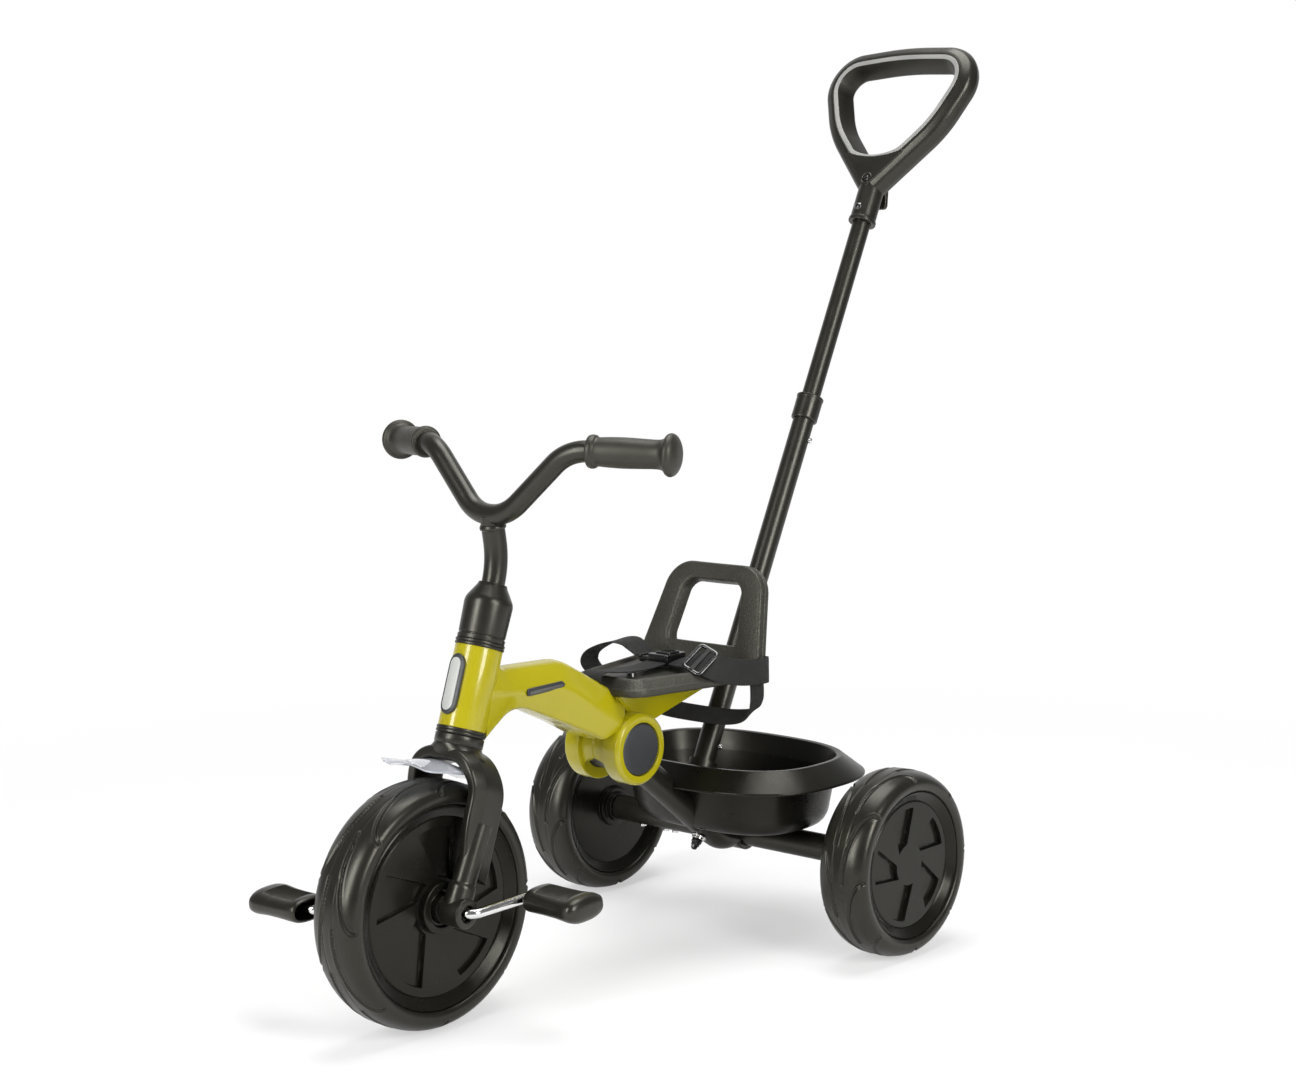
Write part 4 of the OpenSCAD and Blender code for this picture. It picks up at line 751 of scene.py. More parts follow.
def fork_grid():
    """A five cornered section carried along the arch, then set back, thinned and slanted at the feet."""
    path = evenly(soften(ARCH, ARCH_BEND, 16), 120)
    section = soften(FORK_SECTION, FORK_CORNER, 7, closed=True)
    low = step((LEG_FROM - path[:, 2]) / LEG_RUN)[:, None, None]
    foot = step((FOOT_FROM - path[:, 2]) / FOOT_RUN)[:, None, None]
    profile = section[None] * np.concatenate([1 - FOOT_THIN * foot, 1 - LEG_THIN * low], -1)
    profile = profile + np.concatenate([LEG_SETBACK * low + FOOT_SETBACK * foot, 0 * low], -1)
    grid = sweep(path, profile, (0, 1, 0))
    slant = step((SLANT_FROM - grid[..., 2]) / SLANT_RUN)
    grid[..., 2] -= slant * (grid[..., 1] - SLANT_MID) * SLANT
    return grid


FLARE = np.array([  # height, half width, half depth
    (170.6, 23.6, 23.6), (170.3, 24.6, 24.6), (169.4, 25.0, 25.0), (161.0, 25.0, 25.0), (160.4, 24.4, 24.4),
    (159.6, 24.8, 24.6), (157.6, 27.0, 24.2), (155.0, 31.0, 23.4), (152.0, 36.5, 22.4), (149.0, 41.0, 21.2),
    (146.5, 41.0, 20.0)])
flare = stacked(oval(FLARE[:, 1], FLARE[:, 2], 2.0, 72), FLARE[:, 0])
fork_patches = [skin(steer(fork_grid())), skin(steer(flare))]
make("fork_cover", fork_patches, satin_plastic, "steering", "fork_crown", sharp=60)

BOSS = soften([(5.4, 35.0), (13.6, 34.9), (15.0, 36.2), (15.0, 62.2), (13.6, 63.7), (9.0, 63.7), (8.2, 62.6),
               (8.2, 57.0), (5.4, 56.0)], 0.7, 4, closed=True)
LEG_RADII = np.array([(0, 14.4), (24, 14.2), (26, 13.8), (28, 12.4), (92, 12.2)])
LEG_TOP = 88.0
LEG_BEHIND = 0.1  # way back for each millimetre up
leg_patches = []
for side in (1, -1):
    up = np.linspace(0, LEG_TOP, 60)
    line = np.column_stack([np.full_like(up, side * LEG_X), up * LEG_BEHIND, up])
    radius = np.interp(up, LEG_RADII[:, 0], LEG_RADII[:, 1])
    boss = about_x(lathe(BOSS)) * [side, 1, 1] + FRONT_AXLE
    leg_patches += [skin(steer(sweep(line, oval(radius, radius), (1, 0, 0)))), skin(boss, wrap_u=True)]
make("fork_leg_tubes", leg_patches, satin_plastic, "steering", "fork_legs")

# %% [markdown]
# ## Head, stem and handlebar
# The headset rings, the bell shaped cap and the grips are turned shapes. The stem and the bar are tubes with
# rounded corners: the bar dips to the stem in a wide vee and sweeps back to the grips.

# %% Steering column
HEAD_FOOT = 177.0
HEAD_LEN = 84.0
RING_T = 6.0
RING_R, RING_IN = 25.4, 15.0
RING_GROOVE = [(RING_R, 2.5), (24.5, 2.8), (24.5, 3.3), (RING_R, 3.6)]  # radius, way up the ring


def headset_ring(node, foot):
    """A plain ring with a fine groove round its middle."""
    line = [(RING_IN, 0), (RING_R, 0), *RING_GROOVE, (RING_R, RING_T), (RING_IN, RING_T)]
    profile = soften(line, 0.35, 3, closed=True) + [0, foot]
    make(node + "_moulding", [skin(steer(lathe(profile)), wrap_u=True)], satin_plastic, "front_frame", node)


headset_ring("lower_bearing", HEAD_FOOT - RING_T)
headset_ring("upper_bearing", HEAD_FOOT + HEAD_LEN)

CAP_GAP = 0.4
CAP_FOOT = HEAD_FOOT + HEAD_LEN + RING_T + CAP_GAP
CAP = [(12.2, 0.0), (24.4, 0.0), (24.6, 4.6), (23.4, 5.1), (23.4, 6.0), (24.2, 6.6), (25.2, 41.5),
       (15.6, 57.0), (14.6, 60.0), (12.2, 60.0)]
CAP_BENDS = [0.5, 0.6, 0.5, 0.3, 0.3, 0.6, 15.0, 5.0, 1.2, 0.5]
cap_profile = soften(CAP, CAP_BENDS, 7, closed=True) + [0, CAP_FOOT]
bell_cap = skin(steer(lathe(cap_profile)), wrap_u=True)
make("bell_cap", [bell_cap], satin_plastic, "steering", "head_cap", sharp=50)

STEM_R = 12.0
STEM_BEND = 90.0
STEM = [(0.0, 0.0, 147.0), (0.0, 0.0, 350.0), (0.0, -23.0, 394.0)]
stem_line = evenly(soften(STEM, STEM_BEND, 20), 90)
BEAD = [(11.5, -15.5), (13.4, -14.5), (13.8, -12.0), (12.6, -9.5), (11.5, -8.5)]
bead = aim(lathe(soften(BEAD, 1.2, 4, closed=True)), STEM[2], np.subtract(STEM[2], STEM[1]))
stem = sweep(stem_line, oval(STEM_R, STEM_R), (1, 0, 0))
make("stem_tube", [skin(steer(stem)), skin(steer(bead), wrap_u=True)], black_tube, "steering", "stem")

GRIP_OUT = np.array([202.0, 11.0, 474.0])
BAR = [(22.0, -23.0, 394.0), (97.0, -32.5, 463.0)]
BAR_R = 11.0
BAR_BEND = 52.0
BAR_SHORT = 6.0
grip_way = unit(GRIP_OUT - BAR[1])
half_bar = [BAR[0], BAR[1], GRIP_OUT - grip_way * BAR_SHORT]
bar_line = np.array([np.multiply(p, [-1, 1, 1]) for p in half_bar[::-1]] + half_bar)
bar_line = evenly(soften(bar_line, BAR_BEND, 20), 220)
bent_bar = sweep(bar_line, oval(BAR_R, BAR_R), (0, 1, 0))
make("bent_bar", [skin(steer(bent_bar))], black_tube, "steering", "handlebar")

GRIP = [  # radius, way in from the end
    (0, -2.6), (9, -2.0), (15, -0.2), (19.6, 3.0), (21.4, 6.8), (20.4, 10.2), (17.0, 13.0), (15.0, 17),
    (14.5, 24), (15.0, 40), (15.4, 56), (15.0, 72), (14.5, 80), (14.8, 83), (16.2, 84.6), (16.9, 87.6),
    (16.3, 90.8), (14.6, 92), (11.1, 92)]
grip_profile = spline(GRIP, 140)
for name, side in (("left", 1), ("right", -1)):
    grip = aim(lathe(grip_profile), GRIP_OUT, -grip_way) * [side, 1, 1]
    make(name + "_grip_sleeve", [skin(steer(grip))], grip_rubber, "steering", name + "_grip", sharp=60)

# %% [markdown]
# ## Clear mudguard
# A thin clear visor hangs under the fork crown on a short post. It is arched at the back, flattens towards
# the front and ends in a raised, rounded beak. A short table gives the heights of its middle and its edges.

# %% Mudguard
GUARD_T = 2.0
GUARD_HALF = 32.0
GUARD_LINE = [  # way behind the axle, height of the middle, height of the edges
    (74, 114, 112), (62, 121, 118.5), (50, 129, 125), (38, 135.5, 129.5), (28, 140, 132), (20, 143, 133.5),
    (10, 145.2, 136), (0, 146.4, 138.2), (-10, 147.4, 140.3), (-18, 148.6, 143), (-28, 151.6, 149),
    (-34, 153, 152), (-39, 153.6, 153.2), (-43, 152.4, 152.4)]
GUARD_TAPER = 12.0
GUARD_BACK, GUARD_BACK_RUN, GUARD_BACK_IN = 40.0, 34.0, 5.0


def guard_grid():
    """Stations from back to tip times place across: the height falls from the middle with its square.

    The half width follows a quarter ellipse from where the taper starts to the tip.
    """
    line = spline(GUARD_LINE, 90)
    y, middle, edge = line[:, :1], line[:, 1:2], line[:, 2:]
    ahead = np.clip((GUARD_TAPER - y) / (GUARD_TAPER - GUARD_LINE[-1][0]), 0, 1)
    back = GUARD_BACK_IN * step((y - GUARD_BACK) / GUARD_BACK_RUN)
    half = GUARD_HALF * np.sqrt(1 - ahead**2) - back
    across = np.linspace(-1, 1, 41)[None]
    z = middle - (middle - edge) * across**2
    top = np.stack(np.broadcast_arrays(half * across, y, z), -1)
    low = top - [0, 0, GUARD_T]
    low[-1] = top[-1]
    return np.concatenate([top, low[:, ::-1]], 1) + FRONT_AXLE


POST = soften([(-9, 15), (9, 15), (9, 25), (-9, 25)], 2.0, 5, closed=True)
POST_FOOT, POST_H, POST_EDGE = 132.5, 15.0, 0.8
post = pillow(POST, POST_H, POST_EDGE) + [0, 0, POST_FOOT]
make("clear_guard", [skin(guard_grid()), skin(steer(post))], clear_plastic, "steering", "mudguard", sharp=50)
print("steering dressed")

# %% [markdown]
# ## The olive frame
# The frame is two mouldings joined down the middle. Its arm is drawn by three rails on each side: the top
# edge, the crease and the foot. The rails have rounded bends, and flare where they leave the head sleeve. At
# every station the section runs from the middle of the underside over foot, crease and top edge, with
# rounded corners, and is closed along the seam, which leaves the real hairline between the halves.

# %% Frame arm, sleeve and hub
SEAM = 0.14
TOP_RAIL = [(11.5, -192, 128), (13.5, -178, 109.5), (14.0, -90, 106.0), (14.0, 1, 55)]
CREASE_RAIL = [(23.6, -208, 93), (20.5, -166, 84.5), (27.0, -101, 84.5), (34.0, -20, 29.4)]
FOOT_RAIL = [(16.0, -206, 42), (15.0, -163, 72), (22.5, -92, 40.0), (29.0, -47, 17.4)]
RAIL_BENDS = [(14.0, 45.0), (60.0, 60.0), (40.0, 200.0)]
CORNERS = [5.0, 6.0, 6.0]
CORNER_REACH = 0.45  # share of a leg
TOP_CROWN, FOOT_CROWN = 1.8, 1.6
ARM_END = [(0.985, 1.4), (0.95, 2.2)]  # share of the last section, way past it


def toward(corner, point, radius):
    """A place on the leg from each corner to a point: a radius away, or just short of half the leg."""
    leg = point - corner
    return corner + unit(leg) * np.minimum(radius, np.linalg.norm(leg, axis=-1, keepdims=True) * CORNER_REACH)


def round_corner(before, corner, after, radius, steps=7):
    """A curved corner on every station at once: two legs shortened by the radius and a quadratic between."""
    start, end = toward(corner, before, radius), toward(corner, after, radius)
    t = np.linspace(0, 1, steps)[:, None]
    return start[:, None] * (1 - t) ** 2 + corner[:, None] * 2 * t * (1 - t) + end[:, None] * t**2


def arm_grid():
    """Stations along the three rails; each section is closed along the seam."""
    rails = zip((TOP_RAIL, CREASE_RAIL, FOOT_RAIL), RAIL_BENDS)
    rails = np.stack([soften(rail, [1, *bends, 1], 14) for rail, bends in rails])
    count = rails.shape[1]
    fine = np.linspace(0, count - 1, 3 * count)
    at = np.minimum(fine.astype(int), count - 2)
    top, crease, foot = rails[:, at] + (rails[:, at + 1] - rails[:, at]) * (fine - at)[:, None]
    mid_top = np.column_stack([np.full(len(top), SEAM), top[:, 1], top[:, 2] + TOP_CROWN])
    mid_foot = np.column_stack([np.full(len(top), SEAM), foot[:, 1], foot[:, 2] - FOOT_CROWN])
    section = [mid_foot[:, None], round_corner(mid_foot, foot, crease, CORNERS[0]),
               round_corner(foot, crease, top, CORNERS[1]), round_corner(crease, top, mid_top, CORNERS[2]),
               mid_top[:, None]]
    grid = np.concatenate(section, 1)
    core = grid.mean(1, keepdims=True)
    way = unit(core[-1:] - core[-4:-3])
    ends = [core[-1:] + (grid[-1:] - core[-1:]) * share + way * past for share, past in ARM_END]
    grid = np.concatenate([grid] + ends)
    grid[..., 0] = np.maximum(grid[..., 0], SEAM)
    return grid


BARREL_HALF, BARREL_R, BARREL_IN = 19.0, 34.0, 27.0
BARREL_SEAM, BARREL_SEAM_W = 0.5, 0.35
BARREL_FROM, BARREL_TO = 1.6, 196.0  # degrees
WINDOW_ROUND, WINDOW_HALF = 30.0, 19.5


def barrel_grid():
    """The hub's barrel between its discs: a curved strip with a wall, open where the rear frame swings."""
    x = np.linspace(-BARREL_HALF, BARREL_HALF, 41)
    outside = BARREL_R - BARREL_SEAM * bell(x, BARREL_SEAM_W)
    loop_x = np.concatenate([x, x[::-1]])
    loop_r = np.concatenate([outside, np.full(len(x), BARREL_IN)])
    round_end = WINDOW_ROUND * (1 - np.sqrt(1 - np.clip(np.abs(loop_x) / WINDOW_HALF, 0, 1) ** 2))
    t = np.linspace(0, 1, 100)[:, None]
    a = np.radians(BARREL_FROM + (BARREL_TO + round_end - BARREL_FROM) * t)
    return np.stack([np.broadcast_to(loop_x, a.shape), loop_r * np.cos(a), loop_r * np.sin(a)], -1)


SLEEVE_R, SLEEVE_IN, SLEEVE_GAP = 24.5, 20.2, 0.1
sleeve_low, sleeve_high = HEAD_FOOT + SLEEVE_GAP, HEAD_FOOT + HEAD_LEN - SLEEVE_GAP
sleeve = soften([(SLEEVE_IN, sleeve_low), (SLEEVE_R, sleeve_low), (SLEEVE_R, sleeve_high),
                 (SLEEVE_IN, sleeve_high)], 0.8, 5, closed=True)
DISC = [(28.9, 40.0), (35.5, 40.0), (39.0, 36.8), (39.0, 18.0), (27.0, 18.0), (27.0, 29.6), (28.9, 29.6)]
DISC_BENDS = [0.9, 2.6, 3.0, 1.2, 0.5, 0.5, 0.5]
arm = skin(from_hub(arm_grid()))
disc = skin(from_hub(about_x(lathe(soften(DISC, DISC_BENDS, 6, closed=True), 128))), wrap_u=True)
frame_patches = [arm, mirror(arm), disc, mirror(disc), skin(from_hub(barrel_grid())),
                 skin(steer(lathe(sleeve)), wrap_u=True)]
make("frame_mouldings", frame_patches, frame_paint, "front_frame", "frame_shell_left", "frame_shell_right",
     sharp=45)

# %% [markdown]
# The wedge that carries the seat is a plate with a curved outline, thicker at the seat than at the hub. The
# badge is a blank pale plate in a dark bezel that wraps round the sleeve, and each side has a dark inlay: a
# raised dark frame that stands in for the painted shade of a slot, round a paler bar whose grey is a painted
# highlight.

# %% Bracket, badge and inlays
BRACKET = [(-21, 59.0), (143, 59.0), (143, 51.5), (46, 22), (36, 12), (8, 30)]
BRACKET_BENDS = [2, 3, 3, 18, 3, 10]
BRACKET_T, BRACKET_EDGE = 34.0, 2.0
SPREAD, SPREAD_FROM, SPREAD_RUN = 0.55, 30.0, 32.0
bracket = soften(BRACKET, BRACKET_BENDS, 7, closed=True)
rings = pillow(bracket, BRACKET_T, BRACKET_EDGE)[..., [2, 0, 1]] - [BRACKET_T / 2, 0, 0]
rings[..., 0] *= 1 + SPREAD * step((rings[..., 2] - SPREAD_FROM) / SPREAD_RUN)
make("seat_wedge", [skin(from_hub(rings))], frame_paint, "front_frame", "seat_bracket")

SLEEVE_WRAP = 0.8


def oblong(width, height):
    """Outline of a slot: a half circle at each end."""
    t = np.linspace(0, 2 * np.pi, 64, endpoint=False)
    c, s = np.cos(t), np.sin(t)
    return np.column_stack([width / 2 * c, width / 2 * s + np.sign(s) * (height - width) / 2])


def on_sleeve(points, lift):
    """Points of a flat plate (x, up, out) wrapped round the front of the head sleeve."""
    r = SLEEVE_R + points[..., 2] + lift
    a = points[..., 0] / SLEEVE_R * SLEEVE_WRAP
    up = points[..., 1] + HEAD_FOOT + HEAD_LEN / 2
    return steer(np.stack([r * np.sin(a), -r * np.cos(a), up], -1))


BEZEL_W, BEZEL_H, BEZEL_T, BEZEL_EDGE = 25.0, 62.0, 5.2, 1.6
BLANK_W, BLANK_H, BLANK_T, BLANK_EDGE = 15.0, 54.0, 2.4, 0.7
BEZEL_LIFT, BLANK_LIFT = -1.6, 1.9
bezel = on_sleeve(pillow(oblong(BEZEL_W, BEZEL_H), BEZEL_T, BEZEL_EDGE), BEZEL_LIFT)
blank = on_sleeve(pillow(oblong(BLANK_W, BLANK_H), BLANK_T, BLANK_EDGE), BLANK_LIFT)
make("badge_frame", [skin(bezel)], grey_plastic, "front_frame", "badge_bezel")
make("badge_blank", [skin(blank)], badge_silver, "front_frame", "badge_plate")

INLAY_MID = np.array([23.3, -127.0, 83.6])
INLAY_OUT, INLAY_RISE = 0.048, 0.035  # for each millimetre along
INLAY_FOLD, INLAY_POWER = 0.32, 1.15
INLAY_W, INLAY_L, INLAY_T, INLAY_EDGE = 8.0, 52.0, 2.2, 0.8
INNER_W, INNER_L, INNER_T, INNER_EDGE = 4.0, 45.0, 2.6, 0.6
INNER_DROP = 0.8


def on_crease(points):
    """Points of a flat plate (along, up, out) folded over the arm's crease and bent with it."""
    along, up, out = points[..., 0], points[..., 1], points[..., 2]
    side = along * INLAY_OUT - INLAY_FOLD * np.abs(up) ** INLAY_POWER + out
    return from_hub(np.stack([side, along, up + along * INLAY_RISE], -1) + INLAY_MID)


inlay = skin(on_crease(pillow(oblong(INLAY_W, INLAY_L)[:, ::-1], INLAY_T, INLAY_EDGE)))
inner_bar = pillow(oblong(INNER_W, INNER_L)[:, ::-1], INNER_T, INNER_EDGE) - [0, INNER_DROP, 0]
inner_bar = skin(on_crease(inner_bar))
# the raised dark frame stands in for the painted shade of a slot, and the paler bar inside it is a painted
# highlight
make("side_inlay_frames", [inlay, mirror(inlay)], grey_plastic, "front_frame", "side_inlays")
make("side_inlay_highlight_bars", [inner_bar, mirror(inner_bar)], inlay_highlight_grey, "front_frame")

BUTTON = [(0.0, 39.7), (20.0, 39.6), (26.6, 39.2), (28.4, 37.6), (28.4, 34.6), (12.0, 34.6), (12.0, 26.6),
          (0.0, 26.6)]
BUTTON_BENDS = [0.1, 8, 1.6, 1.2, 0.4, 0.4, 0.4, 0.1]
button = about_x(lathe(soften(BUTTON, BUTTON_BENDS, 6)))
for name, side in (("left", 1), ("right", -1)):
    cap = skin(from_hub(button * [side, 1, 1]), caps=False)
    make(name + "_button_cap", [cap], grey_plastic, name + "_button", name + "_fold_button")
print("frame dressed")

# %% [markdown]
# ## Seat
# The seat is one pebbled moulding. Its pan is a stack of outlines, each drawn further in than the last: a
# straight edge band, a sloping shoulder, a flat border and a shallow recess. The backrest is a loop round
# its window, so its grid is closed both ways, with an angle round the window and a walk round the section.

# %% Seat
PAN = [(-51.5, -230.0), (51.5, -230.0), (91.0, -48.0), (-91.0, -48.0)]
PAN_CORNER = 24.0
PAN_STEPS = np.array([  # how far in, height
    (8.0, 297.0), (2.0, 297.2), (0.5, 298.0), (0.0, 299.5), (0.0, 303.6), (0.5, 304.6), (1.6, 305.2),
    (2.2, 305.5), (3.0, 306.4), (9.5, 312.6), (11.0, 313.9), (12.6, 314.7), (14.2, 315.0), (15.4, 314.8),
    (16.4, 314.2), (18.2, 312.0), (19.2, 311.0), (20.4, 310.5)])


def pan_grid():
    """Outlines of the seat pan at each step in and up."""
    outline = soften(PAN, PAN_CORNER, 12, closed=True)
    rings = np.stack([inset(outline, d) for d in PAN_STEPS[:, 0]])
    return from_rear(stacked(rings, PAN_STEPS[:, 1]))


BACK_OUTER = [(-91.0, -4.0), (91.0, -4.0), (66.0, 120.0), (-66.0, 120.0)]
BACK_HOLE = [(-52.0, 20.0), (52.0, 20.0), (40.0, 99.0), (-40.0, 99.0)]
BACK_CORNERS = [20, 20, 36, 36]
HOLE_CORNER = 17.0
BACK_MIDDLE = 60.0
BACK_WALK = [  # outline, how far in or out, depth behind the front
    (0, 3.0, 15.0), (0, 0.8, 14.6), (0, 0.0, 13.4), (0, 0.0, 8.9), (0, 0.7, 8.4), (0, 0.9, 7.9),
    (0, 0.9, 3.6), (0, 1.5, 1.8), (0, 2.8, 0.6), (0, 5.0, 0.0), (1, 6.0, 0.0), (1, 3.6, 0.3), (1, 1.8, 1.2),
    (1, 0.7, 3.0), (1, -1.2, 13.0), (1, -0.6, 14.4), (1, 1.6, 15.0)]


def loop_radius(outline, corner, angle):
    """Distance from the window's middle to an outline at each angle."""
    dense = soften(outline, corner, 24, closed=True)
    dense = evenly(np.vstack([dense, dense[:1]]), 1200)[:-1] - [0, BACK_MIDDLE]
    turn = np.arctan2(dense[:, 1], dense[:, 0])
    order = np.argsort(turn)
    return np.interp(angle, turn[order], np.linalg.norm(dense[order], axis=1), period=2 * np.pi)


def backrest_grid():
    """Angle round the window times a walk round the section."""
    angle = np.linspace(-np.pi, np.pi, 240, endpoint=False)
    radius = [loop_radius(BACK_OUTER, BACK_CORNERS, angle), loop_radius(BACK_HOLE, HOLE_CORNER, angle)]
    rows = []
    for which, off, depth in BACK_WALK:
        r = radius[which] + (off if which else -off)
        x, z = r * np.cos(angle), BACK_MIDDLE + r * np.sin(angle)
        rows.append(np.column_stack([x, np.full(len(angle), depth), z]))
    return backrest_line(np.stack(rows))


COVE_CORNER = np.array([-70.6, 312.0])
COVE_REACH, COVE_HALF = 20.0, 76.0
COVE_BENDS = [1, 0.3, 0.5, 15, 0.5, 1]


def cove_grid():
    """A soft inside corner between pan and backrest: an arc that touches both, closed behind."""
    lean = np.radians(BACK_LEAN)
    up = COVE_REACH * np.array([np.sin(lean), np.cos(lean)])
    offsets = [(4, -3), (-COVE_REACH, -2.6), (-COVE_REACH, -1.5), (0, 0), up + [0.3, 0], up + [5, 0]]
    profile = soften(COVE_CORNER + np.array(offsets), COVE_BENDS, 9, closed=True)
    x = np.linspace(-COVE_HALF, COVE_HALF, 41)[:, None]
    return from_rear(np.stack(np.broadcast_arrays(x, profile[:, 0], profile[:, 1]), -1))


seat_patches = [skin(pan_grid()), skin(backrest_grid(), wrap_u=True), skin(cove_grid())]
make("seat_moulding", seat_patches, grained_plastic, "front_frame", "seat", sharp=50)

# %% [markdown]
# ## Harness
# The harness is flat polyester webbing. A strap is a thin oval carried along a smooth line through a few
# given points. Each point of the mesh remembers how far across and along the strap it lies, so
# that the woven ribs follow every bend.

# %% Straps
WEB_T = 1.8
WEB_POWER = 5.0
LAP_WIDTH = 29.0
HANG_WIDTH = 23.0


def strap(points, width_ways, width, count=120):
    """A flat oval carried along a smooth line; the width points along smoothly turning ways."""
    path = from_rear(spline(points, count))
    ways = spline(width_ways, count)
    section = oval(width / 2, WEB_T / 2, WEB_POWER, 40)
    grid = sweep(path, section, ways)
    weave = np.stack(np.broadcast_arrays(section[:, 0], walked(path)[:, None], 0.0), -1)
    return skin(grid), weave.reshape(-1, 3)


def strap_piece(name, node, *route):
    """One strap as a piece of its own, in place of a belt's solid."""
    patch, weave = strap(*route)
    make(name, [patch], webbing, "front_frame", node, sharp=70, weave=weave)


LEFT_ROUTE = [(12, -119, 319.4), (36, -127, 323), (58, -130, 325.5), (72, -127, 320), (84, -112, 314),
              (91, -93, 310.5), (95, -72, 309.5), (93, -57, 309), (84, -54.5, 308.5)]
LEFT_WAYS = [(0, 1, 0.1), (0.1, 0.9, 0.35), (0.16, 0.79, 0.59), (0, 0.6, 0.8), (0, 0.3, 0.95), (0, 0.05, 1),
             (0, 0, 1), (0, 0, 1), (0, 0, 1)]
strap_piece("left_lap_strap", "lap_belt_left", LEFT_ROUTE, LEFT_WAYS, LAP_WIDTH)

RIGHT_LOOP = [(-60, -128, 295.4), (-78, -131, 296), (-92, -136, 300), (-99, -140, 310), (-96, -139, 320),
              (-85, -133, 328.5), (-69, -126, 334.5), (-54, -121, 334.5), (-43, -120, 329),
              (-34, -120, 322.5)]
RIGHT_WAYS = [(0, 1, 0)] * 6 + [(0.1, 1, 0.08), (0.16, 1, 0.14), (0.12, 1, 0.1), (0, 1, 0)]
strap_piece("right_lap_strap", "lap_belt_right", RIGHT_LOOP, RIGHT_WAYS, LAP_WIDTH)

CROTCH = [(0, -226, 301), (0, -235.5, 303), (0, -242, 310), (0, -240.5, 318.5), (0, -231, 322.5),
          (0, -214, 319.8), (0, -190, 317.2), (0, -160, 316.8), (0, -138, 318.6)]
strap_piece("crotch_web", "crotch_strap", CROTCH, [(1, 0, 0)] * len(CROTCH), LAP_WIDTH)

HANG_HALF = [(82, -64, 296), (82.6, -64, 284), (82, -64.5, 273), (78, -65.5, 263), (69, -67, 256.5),
             (54, -68.5, 253), (34, -69.5, 251.4)]
HANG_MIDDLE = (0, -70, 251)
HANG_TURN = np.radians([0, 5, 12, 22, 32, 38, 40, 40])
hang_route = HANG_HALF + [HANG_MIDDLE] + [(-x, y, z) for x, y, z in HANG_HALF[::-1]]
hang_turn = np.concatenate([HANG_TURN, HANG_TURN[-2::-1]])
hang_ways = np.column_stack([0 * hang_turn, np.cos(hang_turn), np.sin(hang_turn)])
strap_piece("hanging_web", "hanging_strap", hang_route, hang_ways, HANG_WIDTH, 160)

# %% [markdown]
# The side release buckle is a small glossy moulding: a body, a raised cover with ridges and two squeeze
# arms. The slider is a dark steel ring with a plastic bar across it, and tilts with the strap.

# %% Buckle and slider
SEAT_TOP = 315.6
BUCKLE_Y = -120.0


def slab(half_x, half_y, thick, round_r, edge):
    """A rounded rectangular plate standing on height 0."""
    corners = [(-half_x, -half_y), (half_x, -half_y), (half_x, half_y), (-half_x, half_y)]
    return pillow(soften(corners, round_r, 6, closed=True), thick, edge)


body_slab = slab(15.0, 17.0, 11.6, 4.0, 1.4)
cover_slab = slab(10.5, 9.5, 2.6, 3.0, 0.9) + [1.5, 0, 10.8]
ridges = [slab(0.8, 7.0, 1.0, 0.6, 0.4) + [x, 0, 12.8] for x in (-4.0, -1.0, 2.0, 5.0)]
notches = [slab(9.0, 2.2, 7.4, 1.8, 1.0) + [-2, side * 15.4, 2.4] for side in (1, -1)]
buckle_at = from_rear([0, BUCKLE_Y, SEAT_TOP])
make("buckle_body", [skin(g + buckle_at) for g in [body_slab, cover_slab] + ridges + notches], buckle_plastic,
     "front_frame", "buckle_socket")
tongue = [slab(8.0, 12.6, 6.8, 2.5, 1.6) + [-23.2, 0, 0.2], slab(2.0, 13.5, 3.4, 1.2, 1.0) + [-29.0, 0, 5.2]]
make("buckle_prong", [skin(g + buckle_at) for g in tongue], buckle_plastic, "front_frame", "buckle_tongue")

SLIDER = [(-11.5, -16.5), (11.5, -16.5), (11.5, 16.5), (-11.5, 16.5)]
SLIDER_CORNER = 4.0
SLIDER_WAYS = unit(np.array([(0.9, 0.13, -0.43), (0.16, 0.79, 0.59)]))  # along the strap, across it
SLIDER_AT = LEFT_ROUTE[2]
RING_LIFT, RING_SLOPE = 1.6, 0.05
SLIDER_SECTION = oval(2.2, 1.8, 3.0, 20)
CROSS_SECTION = oval(2.6, 1.5, 2.5, 24)
CROSS_HALF, CROSS_LIFT = 16.0, 2.6


def on_slider(points):
    """Points of a level slider (along, across, up) turned and moved to their place on the strap."""
    along, across = SLIDER_WAYS
    return points @ np.array([along, across, unit(np.cross(along, across))]) + from_rear(SLIDER_AT)


def slider_ring_grid():
    """A rounded section carried round a rounded rectangle."""
    line = soften(SLIDER, SLIDER_CORNER, 7, closed=True)
    line = np.column_stack([line, RING_LIFT + RING_SLOPE * line[:, 0]])
    tangent = unit(np.roll(line, -1, 0) - np.roll(line, 1, 0))
    side = unit(np.cross(tangent, [0, 0, 1]))
    out = side[:, None] * SLIDER_SECTION[:, :1]
    return line[:, None] + out + np.array([0, 0, 1.0]) * SLIDER_SECTION[:, 1:]


cross_line = np.linspace([0, -CROSS_HALF, CROSS_LIFT], [0, CROSS_HALF, CROSS_LIFT], 20)
slider_bar = sweep(cross_line, CROSS_SECTION, (1, 0, 0))
slider_ring = skin(on_slider(slider_ring_grid()), wrap_u=True)
make("slider_ring", [slider_ring], dark_steel, "front_frame", "belt_slider")
make("slider_bar", [skin(on_slider(slider_bar))], slider_plastic, "front_frame")
print("seat and harness dressed")

# %% [markdown]
# ## Basket
# The basket is a tapered tub. One closed line walks up the outside, over the sloping rim and down the
# inside; every point of that line is a superellipse with its own half width, half length and height.

